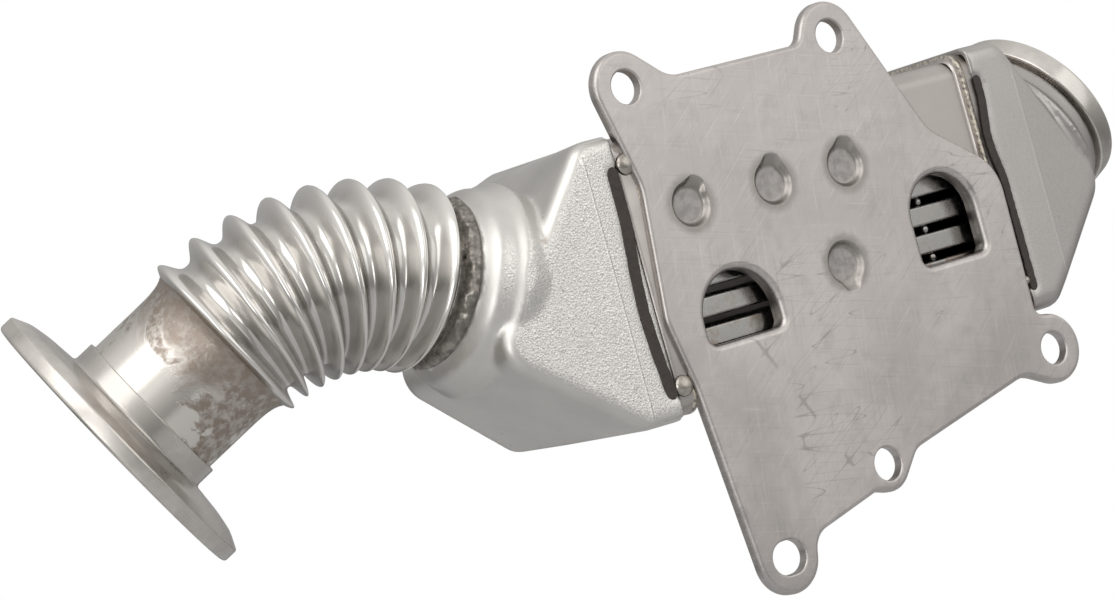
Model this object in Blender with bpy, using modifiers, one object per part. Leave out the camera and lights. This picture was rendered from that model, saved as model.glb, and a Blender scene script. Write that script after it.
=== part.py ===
"""Plate-mounted exhaust gas recirculation (EGR) cooler.

A stamped mounting plate with two coolant ports carries a brazed box of flat gas tubes.
Hot gas comes in through a turned flange, a neck pipe and a bent bellows, spreads out in
the inlet hood, runs along +X inside the tubes and leaves through the outlet hood and ring.

Frame: origin on the mounting face, at the middle of the core. +X is the gas path from
inlet to outlet, -Y points out of the mounting face, +Z runs up across the core.
All sizes are in metres.
"""

import math

import bmesh
import bpy
from mathutils import Matrix, Vector

GAP = 0.0003                    # between pieces that touch
CUT = 0.004                     # how far a cutter runs past what it cuts
WELD_LIMIT = 0.000001           # points closer than this are one

# Core: flat gas tubes with folded fins
TUBE_COUNT = 8
TUBE_PITCH = 0.0076
TUBE_THICKNESS = 0.0054
TUBE_WIDTH = 0.0464
TUBE_WALL = 0.0005
TUBE_END = 0.0010               # how far a tube stands out of its header
FIN_FOLDS = 8
FIN_SHEET = 0.0002
FIN_INSET = 0.0040              # how far a fin ends inside its tube

# Core: two-part shell round the tubes, and the headers that close its ends
SHELL_WALL = 0.0015
SHELL_SIDE_ROOM = 0.0023        # coolant gap beside the tubes
SHELL_HEADROOM = 0.0035         # coolant gap above the top tube and below the bottom one
SHELL_HALF_LENGTH = 0.0597
SHELL_CORNER = 0.0050
COVER_FLANGE = 0.0080
COVER_CORNER = 0.0030
TRAY_EDGE_STEP = 0.0022         # how far the tray's edge lies behind the cover's face
HEADER_PLATE = 0.0015
HEADER_LIP_WALL = 0.0012
HEADER_LIP = 0.0050             # how far the lip reaches back over the shell

# Mounting plate
PLATE_THICKNESS = 0.0030
PLATE_EDGE_ROUND = 0.0011
LUG_RADIUS = 0.0094
SMALL_LUG_RADIUS = 0.0073
BOLT_HOLE_DIAMETER = 0.0087
BOLT_HOLE_CHAMFER = 0.0006
SLOT_STRETCH = 0.0018
# Lugs: x in from the near header's face and z out past the headers
TOP_LEFT_LUG = (0.0084, 0.0114)
RIGHT_LUG = (0.0010, 0.0117)
LOWER_LEFT_LUG = (0.0185, 0.0418)
# Lugs near the middle: x from the middle of the core, z out past the headers
TOP_RIGHT_LUG = (0.0145, 0.0121)
BOTTOM_LUG = (-0.0046, 0.0272)
# Corners and hollows of the plate's sides: x in from the near header's face, z and radius
LEFT_UPPER_HOLLOW = (-0.0085, 0.0210, 0.0132)
LEFT_CORNER = (0.0130, -0.0115, 0.0117)
LEFT_LOWER_HOLLOW = (-0.0115, -0.0330, 0.0165)
RIGHT_CORNER = (0.0165, -0.0032, 0.0137)
RIGHT_HOLLOW = (0.0130, 0.0258, 0.0120)
# Hollows where a lug runs into the plate: radius, direction from the lug in degrees, slack
TOP_LEFT_HOLLOW = (0.0087, 27.0, 0.0016)
TOP_RIGHT_HOLLOW = (0.0036, 165.0, 0.0003)
RIGHT_LUG_TOP_HOLLOW = (0.0027, 89.0, 0.0001)
RIGHT_LUG_HOLLOW = (0.0088, -133.5, 0.0010)
BOTTOM_RIGHT_HOLLOW = (0.0062, -16.5, 0.0014)
BOTTOM_LEFT_HOLLOW = (0.0040, -119.5, 0.0003)
LOWER_LEFT_HOLLOW = (0.0062, -7.4, 0.0001)

# Coolant ports: arches with a flat sill, flared at the mounting face
PORT_FLARE = 0.0019
PORT_CORNER = 0.0024
LEFT_PORT_INSET = 0.0250        # from the inlet header's face to the port's middle
LEFT_PORT_RADIUS = 0.0120
LEFT_PORT_TOP = -0.0038
LEFT_PORT_SILL = -0.0212
RIGHT_PORT_INSET = 0.0251       # from the outlet header's face
RIGHT_PORT_RADIUS = 0.0110
RIGHT_PORT_TOP = 0.0061
RIGHT_PORT_SILL = -0.0172

# Round weld pockets pressed into the plate, each with a small nick at its rim
POCKET_DEPTH = 0.0018
POCKET_FLOOR_RADIUS = 0.0045
POCKET_RIM_RADIUS = 0.0057
POCKET_NICK_RADIUS = 0.0019
POCKET_NICK_DEPTH = 0.0009
FIRST_POCKET = (0.0182, 0.0147, 58.0)   # x in from the inlet header's face, z and nick's direction
POCKETS = (                             # x from the middle, z and nick's direction in degrees
    (-0.0163, 0.0147, 77.0),
    (0.0080, 0.0144, 75.0),
    (-0.0004, -0.0102, -87.0),
)

# Gas hoods
HOOD_WALL = 0.0019
HOOD_RIM = 0.0011               # how far a hood's rim stands out past the header's lip
HOOD_ROUND = 0.0052
HOOD_SLOPE = 0.083              # how fast the front and back walls close in past the crease
HOOD_CORNER = 0.0065
HOOD_TIP = 0.0090
INLET_CREASE = 0.0100           # from the header's face to the crease
OUTLET_CREASE = 0.0117
# reach past the header's face of the bottom corner, the tip and the top corner
INLET_REACH = (0.0120, 0.0480, 0.0100)
OUTLET_REACH = (0.0070, 0.0365, 0.0100)
INLET_TIP_HEIGHT = -0.0095
OUTLET_TIP_HEIGHT = -0.0070
# how far a hood's back is drawn in at the top, drawn in at the bottom, and runs out at the bottom
INLET_LEAN = (0.0036, 0.0018, 0.0045)
OUTLET_LEAN = (0.0, 0.0, 0.0)

# Braze seams between the plate's edge and each hood's front rim
SEAM_TOP_INSET = 0.0072         # below the headers' top
SEAM_BOTTOM_INSET = 0.0045      # above the headers' bottom
SEAM_WIDTH = 0.0021
SEAM_SINK = 0.0002              # how far the braze lies below the rim's front
SEAM_START = 0.0005             # how far inside the header's face the seam begins
INLET_SEAM_BULGE = (0.0030, -0.0127, 0.0170)    # height, middle and half length along z
OUTLET_SEAM_BULGE = (0.0014, -0.0020, 0.0120)
TACK_RADIUS = 0.0026
TACK_HEIGHT = 0.0013

# Inlet: boss, bellows, neck pipe and flange on one bent centre line
BOSS_HEIGHT_ON_HOOD = 0.0106    # z of the boss's foot
BOSS_STAND = 0.00776            # how far its foot stands off the hood's slope
BOSS_SIDE = -0.0023             # from the middle of the core towards the mounting face
BOSS_TILT = 23.1                # degrees above -X
BOSS_WALL = 0.0026
BOSS_HEIGHT = 0.0053
BOSS_TAPER = 0.0009
BOSS_EDGE = 0.0006
BOSS_ROOT = 0.0140              # how far the boss runs back into the hood before it is hollowed
BELLOWS_CONVOLUTIONS = 8
BELLOWS_PITCH = 0.0073
BELLOWS_HEIGHT = 0.0045         # from valley to crest
BELLOWS_VALLEY_STEP = 0.0004    # from the cuff's radius to a valley's
BELLOWS_WALL = 0.0009
BELLOWS_CUFF_RADIUS = 0.0189
BELLOWS_CUFF = 0.0062
BELLOWS_LEAD = 0.0009           # from the weld bead to the first valley
BELLOWS_BEND = 58.3             # degrees
BELLOWS_BEND_TWIST = 150.3      # degrees about the boss axis, from its upward side towards +Y
CREST_FULLNESS = 0.8            # below 1, crests and valleys are rounder than a plain wave's
WELD_RADIUS = 0.0009
PIPE_WALL = 0.0008
FLANGE_RADIUS = 0.0391
FLANGE_RIM = 0.0040
FLANGE_THICKNESS = 0.0078
FLANGE_BACK_CONE = (0.0044, 0.0021)     # inwards from the rim, and back
FLANGE_BACK_FACE = (0.0092, 0.0008)     # inwards from the rim, and in front of the back face
FLANGE_HUB_WALL = 0.0009
FLANGE_HUB = 0.0056
FLANGE_HUB_FILLET = 0.0006
FLANGE_REACH = 0.0379           # from the last crest to the flange's face
FLANGE_EDGE = 0.0007

# Outlet: neck and ring
RING_HEIGHT_ON_HOOD = 0.0131
RING_STAND = 0.01153            # how far the ring's near face stands off the hood's slope
RING_SIDE = -0.0003
RING_TILT = 28.0                # degrees above +X
RING_WALL = 0.0030
RING_LENGTH = 0.0062
RING_BORE_LIP = 0.0010
RING_BEVEL = 0.0008
NECK_RADIUS = 0.0228
NECK_WALL = 0.0018
NECK_FLARE = 0.0034             # how much wider the neck's foot is
NECK_FOOT = 0.0063

# Facets
ROUND_STEPS = 24
RIM_STEPS = 30
HOLE_STEPS = 16
SMALL_STEPS = 8
TACK_STEPS = 12
SEAM_STEPS = 14
WAVE_STEPS = 6                  # on each convolution's outside
INNER_WAVE_STEPS = 2
ARC_STEP = math.radians(26.0)
FOLD_STEP = math.radians(30.0)
TUBE_STEP = math.radians(45.0)

# Values that follow from the sizes above
SHELL_DEPTH = TUBE_WIDTH + 2 * (SHELL_SIDE_ROOM + SHELL_WALL)
SHELL_FRONT = PLATE_THICKNESS + GAP
SHELL_BACK = SHELL_FRONT + SHELL_DEPTH
CORE_MIDDLE = (SHELL_FRONT + SHELL_BACK) / 2
TOP_TUBE = (TUBE_COUNT - 1) / 2 * TUBE_PITCH
SHELL_HALF_HEIGHT = TOP_TUBE + TUBE_THICKNESS / 2 + SHELL_HEADROOM + SHELL_WALL
COVER_HALF_HEIGHT = SHELL_HALF_HEIGHT - SHELL_WALL - GAP
HEADER_END = SHELL_HALF_LENGTH + GAP + HEADER_PLATE
HEADER_HALF_HEIGHT = SHELL_HALF_HEIGHT + GAP + HEADER_LIP_WALL
HEADER_FRONT = SHELL_FRONT - GAP - HEADER_LIP_WALL
HEADER_BACK = SHELL_BACK + GAP + HEADER_LIP_WALL
HOOD_START = HEADER_END + GAP
HOOD_FRONT = HEADER_FRONT - HOOD_RIM + GAP / 2
HOOD_BACK = HEADER_BACK + HOOD_RIM - GAP / 2
HOOD_HALF_HEIGHT = HEADER_HALF_HEIGHT + HOOD_RIM
TUBE_HALF_LENGTH = HEADER_END + TUBE_END
SEAM_TOP = HEADER_HALF_HEIGHT - SEAM_TOP_INSET
SEAM_BOTTOM = SEAM_BOTTOM_INSET - HEADER_HALF_HEIGHT
TACKS = (                       # name, side, x in from the header's face, z and size
    ("tack_weld_upper", -1, 0.0031, SEAM_TOP + 0.0002, 1.0),
    ("tack_weld_lower", -1, 0.0022, SEAM_BOTTOM + 0.0023, 1.0),
    ("tack_weld_outlet", 1, 0.0034, SEAM_BOTTOM + 0.0031, 0.7),
)
BOSS_RADIUS = BELLOWS_CUFF_RADIUS + BOSS_WALL
BELLOWS_VALLEY_RADIUS = BELLOWS_CUFF_RADIUS + BELLOWS_VALLEY_STEP
BELLOWS_BODY = BELLOWS_PITCH * BELLOWS_CONVOLUTIONS
BELLOWS_RUN = BELLOWS_BODY - BELLOWS_PITCH          # bent part, from first to last crest
FIRST_CREST = BOSS_HEIGHT + 2 * WELD_RADIUS + 3 * GAP + BELLOWS_LEAD + BELLOWS_PITCH / 2
PIPE_RADIUS = BELLOWS_CUFF_RADIUS + GAP + PIPE_WALL
FLANGE_BORE = BELLOWS_CUFF_RADIUS - BELLOWS_WALL
RING_RADIUS = NECK_RADIUS + RING_WALL

# Colour, roughness and metallic value
STEEL = ((0.56, 0.54, 0.51), 0.38, 1.0)
PLATE_STEEL = ((0.62, 0.59, 0.56), 0.42, 1.0)
BLASTED = ((0.66, 0.65, 0.63), 0.55, 1.0)
POLISHED = ((0.60, 0.57, 0.53), 0.22, 1.0)
TURNED = ((0.64, 0.62, 0.59), 0.30, 1.0)
BRAZE = ((0.10, 0.085, 0.075), 0.60, 1.0)
WELD = ((0.28, 0.24, 0.21), 0.50, 1.0)


def axes(origin, x, y, z):
    """Matrix that puts local x, y and z along the three given directions."""
    made = Matrix((x, y, z)).transposed().to_4x4()
    made.translation = origin
    return made


def clear_scene():
    for item in list(bpy.data.objects):
        bpy.data.objects.remove(item)
    for group in list(bpy.data.collections):
        bpy.data.collections.remove(group)


def collection(name):
    group = bpy.data.collections.new(name)
    bpy.context.scene.collection.children.link(group)
    return group


def material(name, look):
    colour, roughness, metallic = look
    made = bpy.data.materials.new(name)
    made.use_nodes = True
    shader = made.node_tree.nodes["Principled BSDF"]
    shader.inputs["Base Color"].default_value = (*colour, 1.0)
    shader.inputs["Roughness"].default_value = roughness
    shader.inputs["Metallic"].default_value = metallic
    return made


class Shop:
    """The collections, and the empties that carry the pieces in their own directions."""

    def __init__(self):
        self.pieces = collection("egr_cooler")
        self.cutters = collection("cutters")
        self.cutters.hide_render = True
        # local x and y across the mounting face, local z out of it
        self.front = self.empty("mounting_face", axes((0, 0, 0), (1, 0, 0), (0, 0, 1), (0, -1, 0)))
        # local x along the depth, local y up, local z along the gas path
        self.core = self.empty("core_axis", axes((0, CORE_MIDDLE, 0), (0, 1, 0), (0, 0, 1), (1, 0, 0)))
        # local z along the gas way out of the hood, local x on its upward side
        self.inlet = self.empty("inlet_axis", outward_axis(-1, BOSS_TILT, boss_foot()))
        self.outlet = self.empty("outlet_axis", outward_axis(1, RING_TILT, ring_near()))

    def empty(self, name, matrix):
        made = bpy.data.objects.new(name, None)
        made.empty_display_size = 0.01
        made.matrix_world = matrix
        self.pieces.objects.link(made)
        return made

    def place(self, name, bm, group, parent, at):
        mesh = bpy.data.meshes.new(name)
        bm.normal_update()
        bmesh.ops.recalc_face_normals(bm, faces=bm.faces)
        bm.to_mesh(mesh)
        bm.free()
        made = bpy.data.objects.new(name, mesh)
        made.parent = parent
        made.location = at
        group.objects.link(made)
        return made

    def link(self, name, bm, look, parent=None, at=(0.0, 0.0, 0.0), sharp=24.0):
        """A finished piece from a bmesh, its edges sharp above the given degrees."""
        made = self.place(name, bm, self.pieces, parent, at)
        made.data.shade_smooth()
        made.data.set_sharp_from_angle(angle=math.radians(sharp))
        made.data.materials.append(material(f"{name}_finish", look))
        return made

    def cutter(self, name, bm, parent=None, at=(0.0, 0.0, 0.0)):
        made = self.place(name, bm, self.cutters, parent, at)
        made.hide_render = True
        made.display_type = "WIRE"
        return made


def boolean(target, tool, operation):
    step = target.modifiers.new(tool.name, "BOOLEAN")
    step.operation = operation
    step.object = tool


def cut(target, tool):
    boolean(target, tool, "DIFFERENCE")


def join(target, tool):
    boolean(target, tool, "UNION")


def evaluated(item):
    """The bmesh of a curve or of an object with modifiers, which is removed."""
    bpy.context.scene.collection.objects.link(item)
    bpy.context.view_layer.update()
    mesh = bpy.data.meshes.new_from_object(item.evaluated_get(bpy.context.evaluated_depsgraph_get()))
    bm = bmesh.new()
    bm.from_mesh(mesh)
    bmesh.ops.remove_doubles(bm, verts=bm.verts, dist=WELD_LIMIT)
    bpy.data.objects.remove(item)
    bpy.data.meshes.remove(mesh)
    return bm


def flat_curve(paths, thickness, closed=True):
    """Flat body of the given thickness from a 2-D curve, its middle at z = 0.

    Closed paths are filled and those after the first are holes. An open path gives an open
    strip, as wide as the thickness.
    """
    curve = bpy.data.curves.new("outline", "CURVE")
    curve.dimensions = "2D"
    curve.fill_mode = "BOTH" if closed else "NONE"
    curve.extrude = thickness / 2
    for path in paths:
        spline = curve.splines.new("POLY")
        spline.points.add(len(path) - 1)
        for point, (x, y) in zip(spline.points, path):
            point.co = (x, y, 0.0, 1.0)
        spline.use_cyclic_u = closed
    return evaluated(bpy.data.objects.new("outline", curve))


def prism(outline, low, high):
    """Filled outline from one height to another."""
    bm = flat_curve([outline], high - low)
    bm.transform(Matrix.Translation((0.0, 0.0, (low + high) / 2)))
    return bm


def turned(profile, steps):
    """Body of revolution about z from a profile of (radius, z) points.

    A profile that touches the axis makes a solid; otherwise it is a closed ring section.
    """
    bm = bmesh.new()
    verts = [bm.verts.new((radius, 0.0, z)) for radius, z in profile]
    edges = list(zip(verts, verts[1:]))
    if min(radius for radius, z in profile) > 0.0:
        edges.append((verts[-1], verts[0]))
    for edge in edges:
        bm.edges.new(edge)
    mesh = bpy.data.meshes.new("profile")
    bm.to_mesh(mesh)
    bm.free()
    item = bpy.data.objects.new("profile", mesh)
    screw = item.modifiers.new("turn", "SCREW")
    screw.steps = steps
    screw.render_steps = steps
    screw.use_merge_vertices = True
    screw.merge_threshold = WELD_LIMIT
    return evaluated(item)


def loft(rings):
    """Closed body drawn through outlines of equal length, each a list of (x, y) and a height z."""
    bm = bmesh.new()
    outline, height = rings[0]
    verts = [bm.verts.new((x, y, height)) for x, y in outline]
    edges = [bm.edges.new((verts[i - 1], vert)) for i, vert in enumerate(verts)]
    bmesh.ops.contextual_create(bm, geom=edges)
    for outline, height in rings[1:]:
        made = bmesh.ops.extrude_edge_only(bm, edges=edges)["geom"]
        fresh = {item for item in made if isinstance(item, bmesh.types.BMVert)}
        moved = []
        for vert, (x, y) in zip(verts, outline):
            rails = [edge.other_vert(vert) for edge in vert.link_edges]
            drawn = next(other for other in rails if other in fresh)
            drawn.co = (x, y, height)
            moved.append(drawn)
        edges = [item for item in made if isinstance(item, bmesh.types.BMEdge)
                 and item.verts[0] in fresh and item.verts[1] in fresh]
        verts = moved
    bmesh.ops.contextual_create(bm, geom=edges)
    return bm


def arc(centre, radius, start, end, step=ARC_STEP):
    """Points on an arc between two angles in radians, ends included."""
    count = max(1, math.ceil(abs(end - start) / step))
    turn = [start + (end - start) * i / count for i in range(count + 1)]
    return [(centre[0] + radius * math.cos(a), centre[1] + radius * math.sin(a)) for a in turn]


def belt(circles, grow=0.0):
    """Outline pulled round circles like a belt, anticlockwise.

    A circle with a positive radius is inside the outline, one with a negative radius
    outside it. The outline is moved outwards by grow, with the same number of points.
    """
    count = len(circles)
    headings = []
    for i in range(count):
        (x1, z1), r1 = circles[i]
        (x2, z2), r2 = circles[(i + 1) % count]
        lean = (r2 - r1) / math.hypot(x2 - x1, z2 - z1)
        headings.append(math.atan2(z2 - z1, x2 - x1) - math.asin(max(-1.0, min(1.0, lean))))
    points = []
    for i in range(count):
        centre, radius = circles[i]
        before, after = headings[i - 1], headings[i]
        turn = (after - before + math.pi) % (2 * math.pi) - math.pi
        if radius > 0 and turn < 0:
            turn += 2 * math.pi
        side = -math.pi / 2 if radius > 0 else math.pi / 2
        reach = radius + grow if radius > 0 else -radius - grow
        points += arc(centre, reach, before + side, before + side + turn)
    return points


def next_to(lug, hollow):
    """Circle of a hollow that touches a lug, for belt()."""
    (x, z), lug_radius = lug
    radius, degrees, slack = hollow
    reach = lug_radius + radius + slack
    angle = math.radians(degrees)
    return (x + reach * math.cos(angle), z + reach * math.sin(angle)), -radius


def side_circle(side, circle, kind=1):
    """Circle of the plate's side by its inset from the header's face; kind -1 makes a hollow."""
    inset, z, radius = circle
    return (side * (HEADER_END - inset), z), kind * radius


def lug_circles():
    """The five lugs: top left, top right, right, bottom and lower left."""
    top, low = HEADER_HALF_HEIGHT, -HEADER_HALF_HEIGHT
    return [
        ((TOP_LEFT_LUG[0] - HEADER_END, top + TOP_LEFT_LUG[1]), LUG_RADIUS),
        ((TOP_RIGHT_LUG[0], top + TOP_RIGHT_LUG[1]), LUG_RADIUS),
        ((HEADER_END - RIGHT_LUG[0], low - RIGHT_LUG[1]), LUG_RADIUS),
        ((BOTTOM_LUG[0], low - BOTTOM_LUG[1]), SMALL_LUG_RADIUS),
        ((LOWER_LEFT_LUG[0] - HEADER_END, low - LOWER_LEFT_LUG[1]), LUG_RADIUS),
    ]


def plate_circles():
    """The mounting plate's lugs, corners and hollows, anticlockwise from the top left lug."""
    top_left, top_right, right, bottom, lower_left = lug_circles()
    return [
        top_left,
        side_circle(-1, LEFT_UPPER_HOLLOW, -1),
        side_circle(-1, LEFT_CORNER),
        side_circle(-1, LEFT_LOWER_HOLLOW, -1),
        lower_left,
        next_to(lower_left, LOWER_LEFT_HOLLOW),
        next_to(bottom, BOTTOM_LEFT_HOLLOW),
        bottom,
        next_to(bottom, BOTTOM_RIGHT_HOLLOW),
        next_to(right, RIGHT_LUG_HOLLOW),
        right,
        next_to(right, RIGHT_LUG_TOP_HOLLOW),
        side_circle(1, RIGHT_CORNER),
        side_circle(1, RIGHT_HOLLOW, -1),
        top_right,
        next_to(top_right, TOP_RIGHT_HOLLOW),
        next_to(top_left, TOP_LEFT_HOLLOW),
    ]


def arch_circles(x, radius, top, sill):
    """A port's outline for belt(): a round head and two small corners at the sill."""
    low = sill + PORT_CORNER
    return [
        ((x, top - radius), radius),
        ((x - radius + PORT_CORNER, low), PORT_CORNER),
        ((x + radius - PORT_CORNER, low), PORT_CORNER),
    ]


def ports():
    left = LEFT_PORT_INSET - HEADER_END
    right = HEADER_END - RIGHT_PORT_INSET
    return (
        ("left_port", arch_circles(left, LEFT_PORT_RADIUS, LEFT_PORT_TOP, LEFT_PORT_SILL)),
        ("right_port", arch_circles(right, RIGHT_PORT_RADIUS, RIGHT_PORT_TOP, RIGHT_PORT_SILL)),
    )


def bolt_hole(x, z, radius, stretch):
    """Round hole, or a slot stretched along x."""
    step = 2 * math.pi / HOLE_STEPS
    right = arc((x + stretch / 2, z), radius, -math.pi / 2, math.pi / 2, step)
    left = arc((x - stretch / 2, z), radius, math.pi / 2, 3 * math.pi / 2, step)
    if stretch:
        return right + left
    return right[:-1] + left[:-1]


def mounting_plate(shop):
    """Stamped plate with a rounded front edge, flared ports, bolt holes and weld pockets."""
    circles = plate_circles()
    rim = PLATE_EDGE_ROUND
    rings = [(belt(circles), -PLATE_THICKNESS), (belt(circles), -rim)]
    for degrees in (45.0, 90.0):
        angle = math.radians(degrees)
        rings.append((belt(circles, rim * (math.cos(angle) - 1.0)), rim * (math.sin(angle) - 1.0)))
    plate = shop.link("mounting_plate", loft(rings), PLATE_STEEL, shop.front)
    for name, circles in ports():
        rings = [
            (belt(circles), -PLATE_THICKNESS - CUT),
            (belt(circles), -PORT_FLARE * 0.9),
            (belt(circles, PORT_FLARE * 0.35), -PORT_FLARE * 0.4),
            (belt(circles, PORT_FLARE), 0.0),
            (belt(circles, PORT_FLARE * 1.2), PORT_FLARE / 2),
        ]
        cut(plate, shop.cutter(f"{name}_cutter", loft(rings), shop.front))
    radius = BOLT_HOLE_DIAMETER / 2
    for i, ((x, z), _) in enumerate(lug_circles()):
        stretch = SLOT_STRETCH if i == 4 else 0.0
        hole = bolt_hole(x, z, radius, stretch)
        wide = bolt_hole(x, z, radius + BOLT_HOLE_CHAMFER, stretch)
        rings = [(hole, -PLATE_THICKNESS - CUT), (hole, -BOLT_HOLE_CHAMFER), (wide, 0.0), (wide, CUT)]
        cut(plate, shop.cutter(f"bolt_hole_{i + 1}", loft(rings), shop.front))
    inset, z, nick = FIRST_POCKET
    for i, (x, z, nick) in enumerate(((inset - HEADER_END, z, nick), *POCKETS)):
        cut_pocket(shop, plate, i + 1, x, z, math.radians(nick))


def cut_pocket(shop, plate, number, x, z, nick):
    profile = [
        (0.0, CUT),
        (POCKET_RIM_RADIUS, CUT),
        (POCKET_RIM_RADIUS, 0.0),
        (POCKET_FLOOR_RADIUS, -POCKET_DEPTH * 0.8),
        (POCKET_FLOOR_RADIUS - POCKET_DEPTH * 0.2, -POCKET_DEPTH),
        (0.0, -POCKET_DEPTH),
    ]
    cut(plate, shop.cutter(f"pocket_{number}", turned(profile, HOLE_STEPS), shop.front, (x, z, 0.0)))
    tip = (x + POCKET_RIM_RADIUS * math.cos(nick), z + POCKET_RIM_RADIUS * math.sin(nick), 0.0)
    profile = [
        (0.0, CUT),
        (POCKET_NICK_RADIUS, CUT),
        (POCKET_NICK_RADIUS, 0.0),
        (POCKET_NICK_RADIUS * 0.4, -POCKET_NICK_DEPTH),
        (0.0, -POCKET_NICK_DEPTH),
    ]
    cut(plate, shop.cutter(f"pocket_nick_{number}", turned(profile, SMALL_STEPS), shop.front, tip))


def folded_sheet(shop, name, path, half_length, wall):
    """Sheet folded along an open path of (depth, height) points, its outer side on the path."""
    made = shop.link(name, flat_curve([path], 2 * half_length, closed=False), STEEL, shop.core)
    solid = made.modifiers.new("wall", "SOLIDIFY")
    solid.thickness = wall
    solid.offset = -1.0
    solid.use_even_offset = True
    return made


def shell(shop):
    """Cover with the two port openings, and the tray that closes over its flanges."""
    front, high, r = -SHELL_DEPTH / 2, COVER_HALF_HEIGHT, COVER_CORNER
    path = [(front + COVER_FLANGE + r, high)]
    path += arc((front + r, high - r), r, math.pi / 2, math.pi, FOLD_STEP)
    path += arc((front + r, r - high), r, math.pi, 3 * math.pi / 2, FOLD_STEP)
    path.append((front + COVER_FLANGE + r, -high))
    cover = folded_sheet(shop, "shell_cover", path, SHELL_HALF_LENGTH, SHELL_WALL)
    for name, circles in ports():
        tool = prism(belt(circles, GAP), -SHELL_FRONT - SHELL_WALL - CUT / 2, CUT)
        cut(cover, shop.cutter(f"{name}_opening", tool, shop.front))
    back, high, r = SHELL_DEPTH / 2, SHELL_HALF_HEIGHT, SHELL_CORNER
    path = [(front + TRAY_EDGE_STEP, -high)]
    path += arc((back - r, r - high), r, -math.pi / 2, 0.0, FOLD_STEP)
    path += arc((back - r, high - r), r, 0.0, math.pi / 2, FOLD_STEP)
    path.append((front + TRAY_EDGE_STEP, high))
    folded_sheet(shop, "shell_tray", path, SHELL_HALF_LENGTH, SHELL_WALL)


def rounded_rectangle(half_width, half_height, right_radius, left_radius, step):
    points = []
    corners = ((1, 1, 0), (-1, 1, 90), (-1, -1, 180), (1, -1, 270))
    for side, up, degrees in corners:
        radius = right_radius if side > 0 else left_radius
        centre = (side * (half_width - radius), up * (half_height - radius))
        start = math.radians(degrees)
        points += arc(centre, radius, start, start + math.pi / 2, step)
    return points


def tube_outline(clearance):
    half = TUBE_THICKNESS / 2 + clearance
    corner = half * 0.96
    return rounded_rectangle(TUBE_WIDTH / 2 + clearance, half, corner, corner, TUBE_STEP)


def tube_heights():
    return [i * TUBE_PITCH - TOP_TUBE for i in range(TUBE_COUNT)]


def headers(shop):
    """Trays whose lips wrap round the shell's ends, with a slot for each tube."""
    half_depth = (HEADER_BACK - HEADER_FRONT) / 2
    wall = HEADER_LIP_WALL
    back, front = SHELL_CORNER + GAP, TRAY_EDGE_STEP
    outer = rounded_rectangle(half_depth, HEADER_HALF_HEIGHT, back + wall, front + wall, FOLD_STEP)
    inner = rounded_rectangle(half_depth - wall, HEADER_HALF_HEIGHT - wall, back, front, FOLD_STEP)
    floor = HEADER_END - HEADER_PLATE
    lip_end = SHELL_HALF_LENGTH - HEADER_LIP
    room = prism(belt(plate_circles(), 2 * GAP), -SHELL_FRONT + GAP / 2, CUT)
    room = shop.cutter("plate_room", room, shop.front)
    for name, side in (("inlet_header", -1), ("outlet_header", 1)):
        low, high = sorted((side * lip_end, side * HEADER_END))
        header = shop.link(name, prism(outer, low, high), STEEL, shop.core)
        low, high = sorted((side * (lip_end - CUT), side * floor))
        cut(header, shop.cutter(f"{name}_pocket", prism(inner, low, high), shop.core))
        cut(header, room)
        low, high = sorted((side * (floor - CUT), side * (HEADER_END + CUT)))
        for i, z in enumerate(tube_heights()):
            slot = prism(tube_outline(GAP), low, high)
            cut(header, shop.cutter(f"{name}_slot_{i + 1}", slot, shop.core, (0.0, z, 0.0)))


def gas_tubes(shop):
    """Flat tubes, each with a folded fin along its inside."""
    outlines = [tube_outline(0.0), tube_outline(-TUBE_WALL)]
    half_gap = TUBE_THICKNESS / 2 - TUBE_WALL - GAP
    half_width = TUBE_WIDTH / 2 - TUBE_WALL - half_gap
    for i, z in enumerate(tube_heights()):
        tube = flat_curve(outlines, 2 * TUBE_HALF_LENGTH)
        shop.link(f"gas_tube_{i + 1}", tube, STEEL, shop.core, (0.0, z, 0.0))
        path = []
        for fold in range(FIN_FOLDS + 1):
            side = 1 if fold % 2 else -1
            path.append((half_width * (2 * fold / FIN_FOLDS - 1), side * (half_gap - FIN_SHEET)))
        fin = folded_sheet(shop, f"tube_fin_{i + 1}", path, TUBE_HALF_LENGTH - FIN_INSET, FIN_SHEET)
        fin.location = (0.0, z, 0.0)


def corner_circles(corners):
    """Circles for belt() that round the corners (x, z, radius) of a convex outline."""
    circles = []
    count = len(corners)
    for i, (x, z, radius) in enumerate(corners):
        lines = []
        for j in (i - 1, i):
            (x1, z1, _), (x2, z2, _) = corners[j], corners[(j + 1) % count]
            length = math.hypot(x2 - x1, z2 - z1)
            normal = ((z1 - z2) / length, (x2 - x1) / length)
            lines.append((normal, normal[0] * x + normal[1] * z + radius))
        (n1, d1), (n2, d2) = lines
        det = n1[0] * n2[1] - n1[1] * n2[0]
        circles.append((((d1 * n2[1] - d2 * n1[1]) / det, (n1[0] * d2 - n2[0] * d1) / det), radius))
    return circles


def slope_reach(reach, tip_height, z):
    """How far a hood's upper slope lies past the header's face at a height."""
    _, tip, top = reach
    share = (z - tip_height) / (HOOD_HALF_HEIGHT - tip_height)
    return tip + (top - tip) * share


def boss_foot():
    out = slope_reach(INLET_REACH, INLET_TIP_HEIGHT, BOSS_HEIGHT_ON_HOOD) + BOSS_STAND
    return -HEADER_END - out, CORE_MIDDLE + BOSS_SIDE, BOSS_HEIGHT_ON_HOOD


def ring_near():
    out = slope_reach(OUTLET_REACH, OUTLET_TIP_HEIGHT, RING_HEIGHT_ON_HOOD) + RING_STAND
    return HEADER_END + out, CORE_MIDDLE + RING_SIDE, RING_HEIGHT_ON_HOOD


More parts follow.
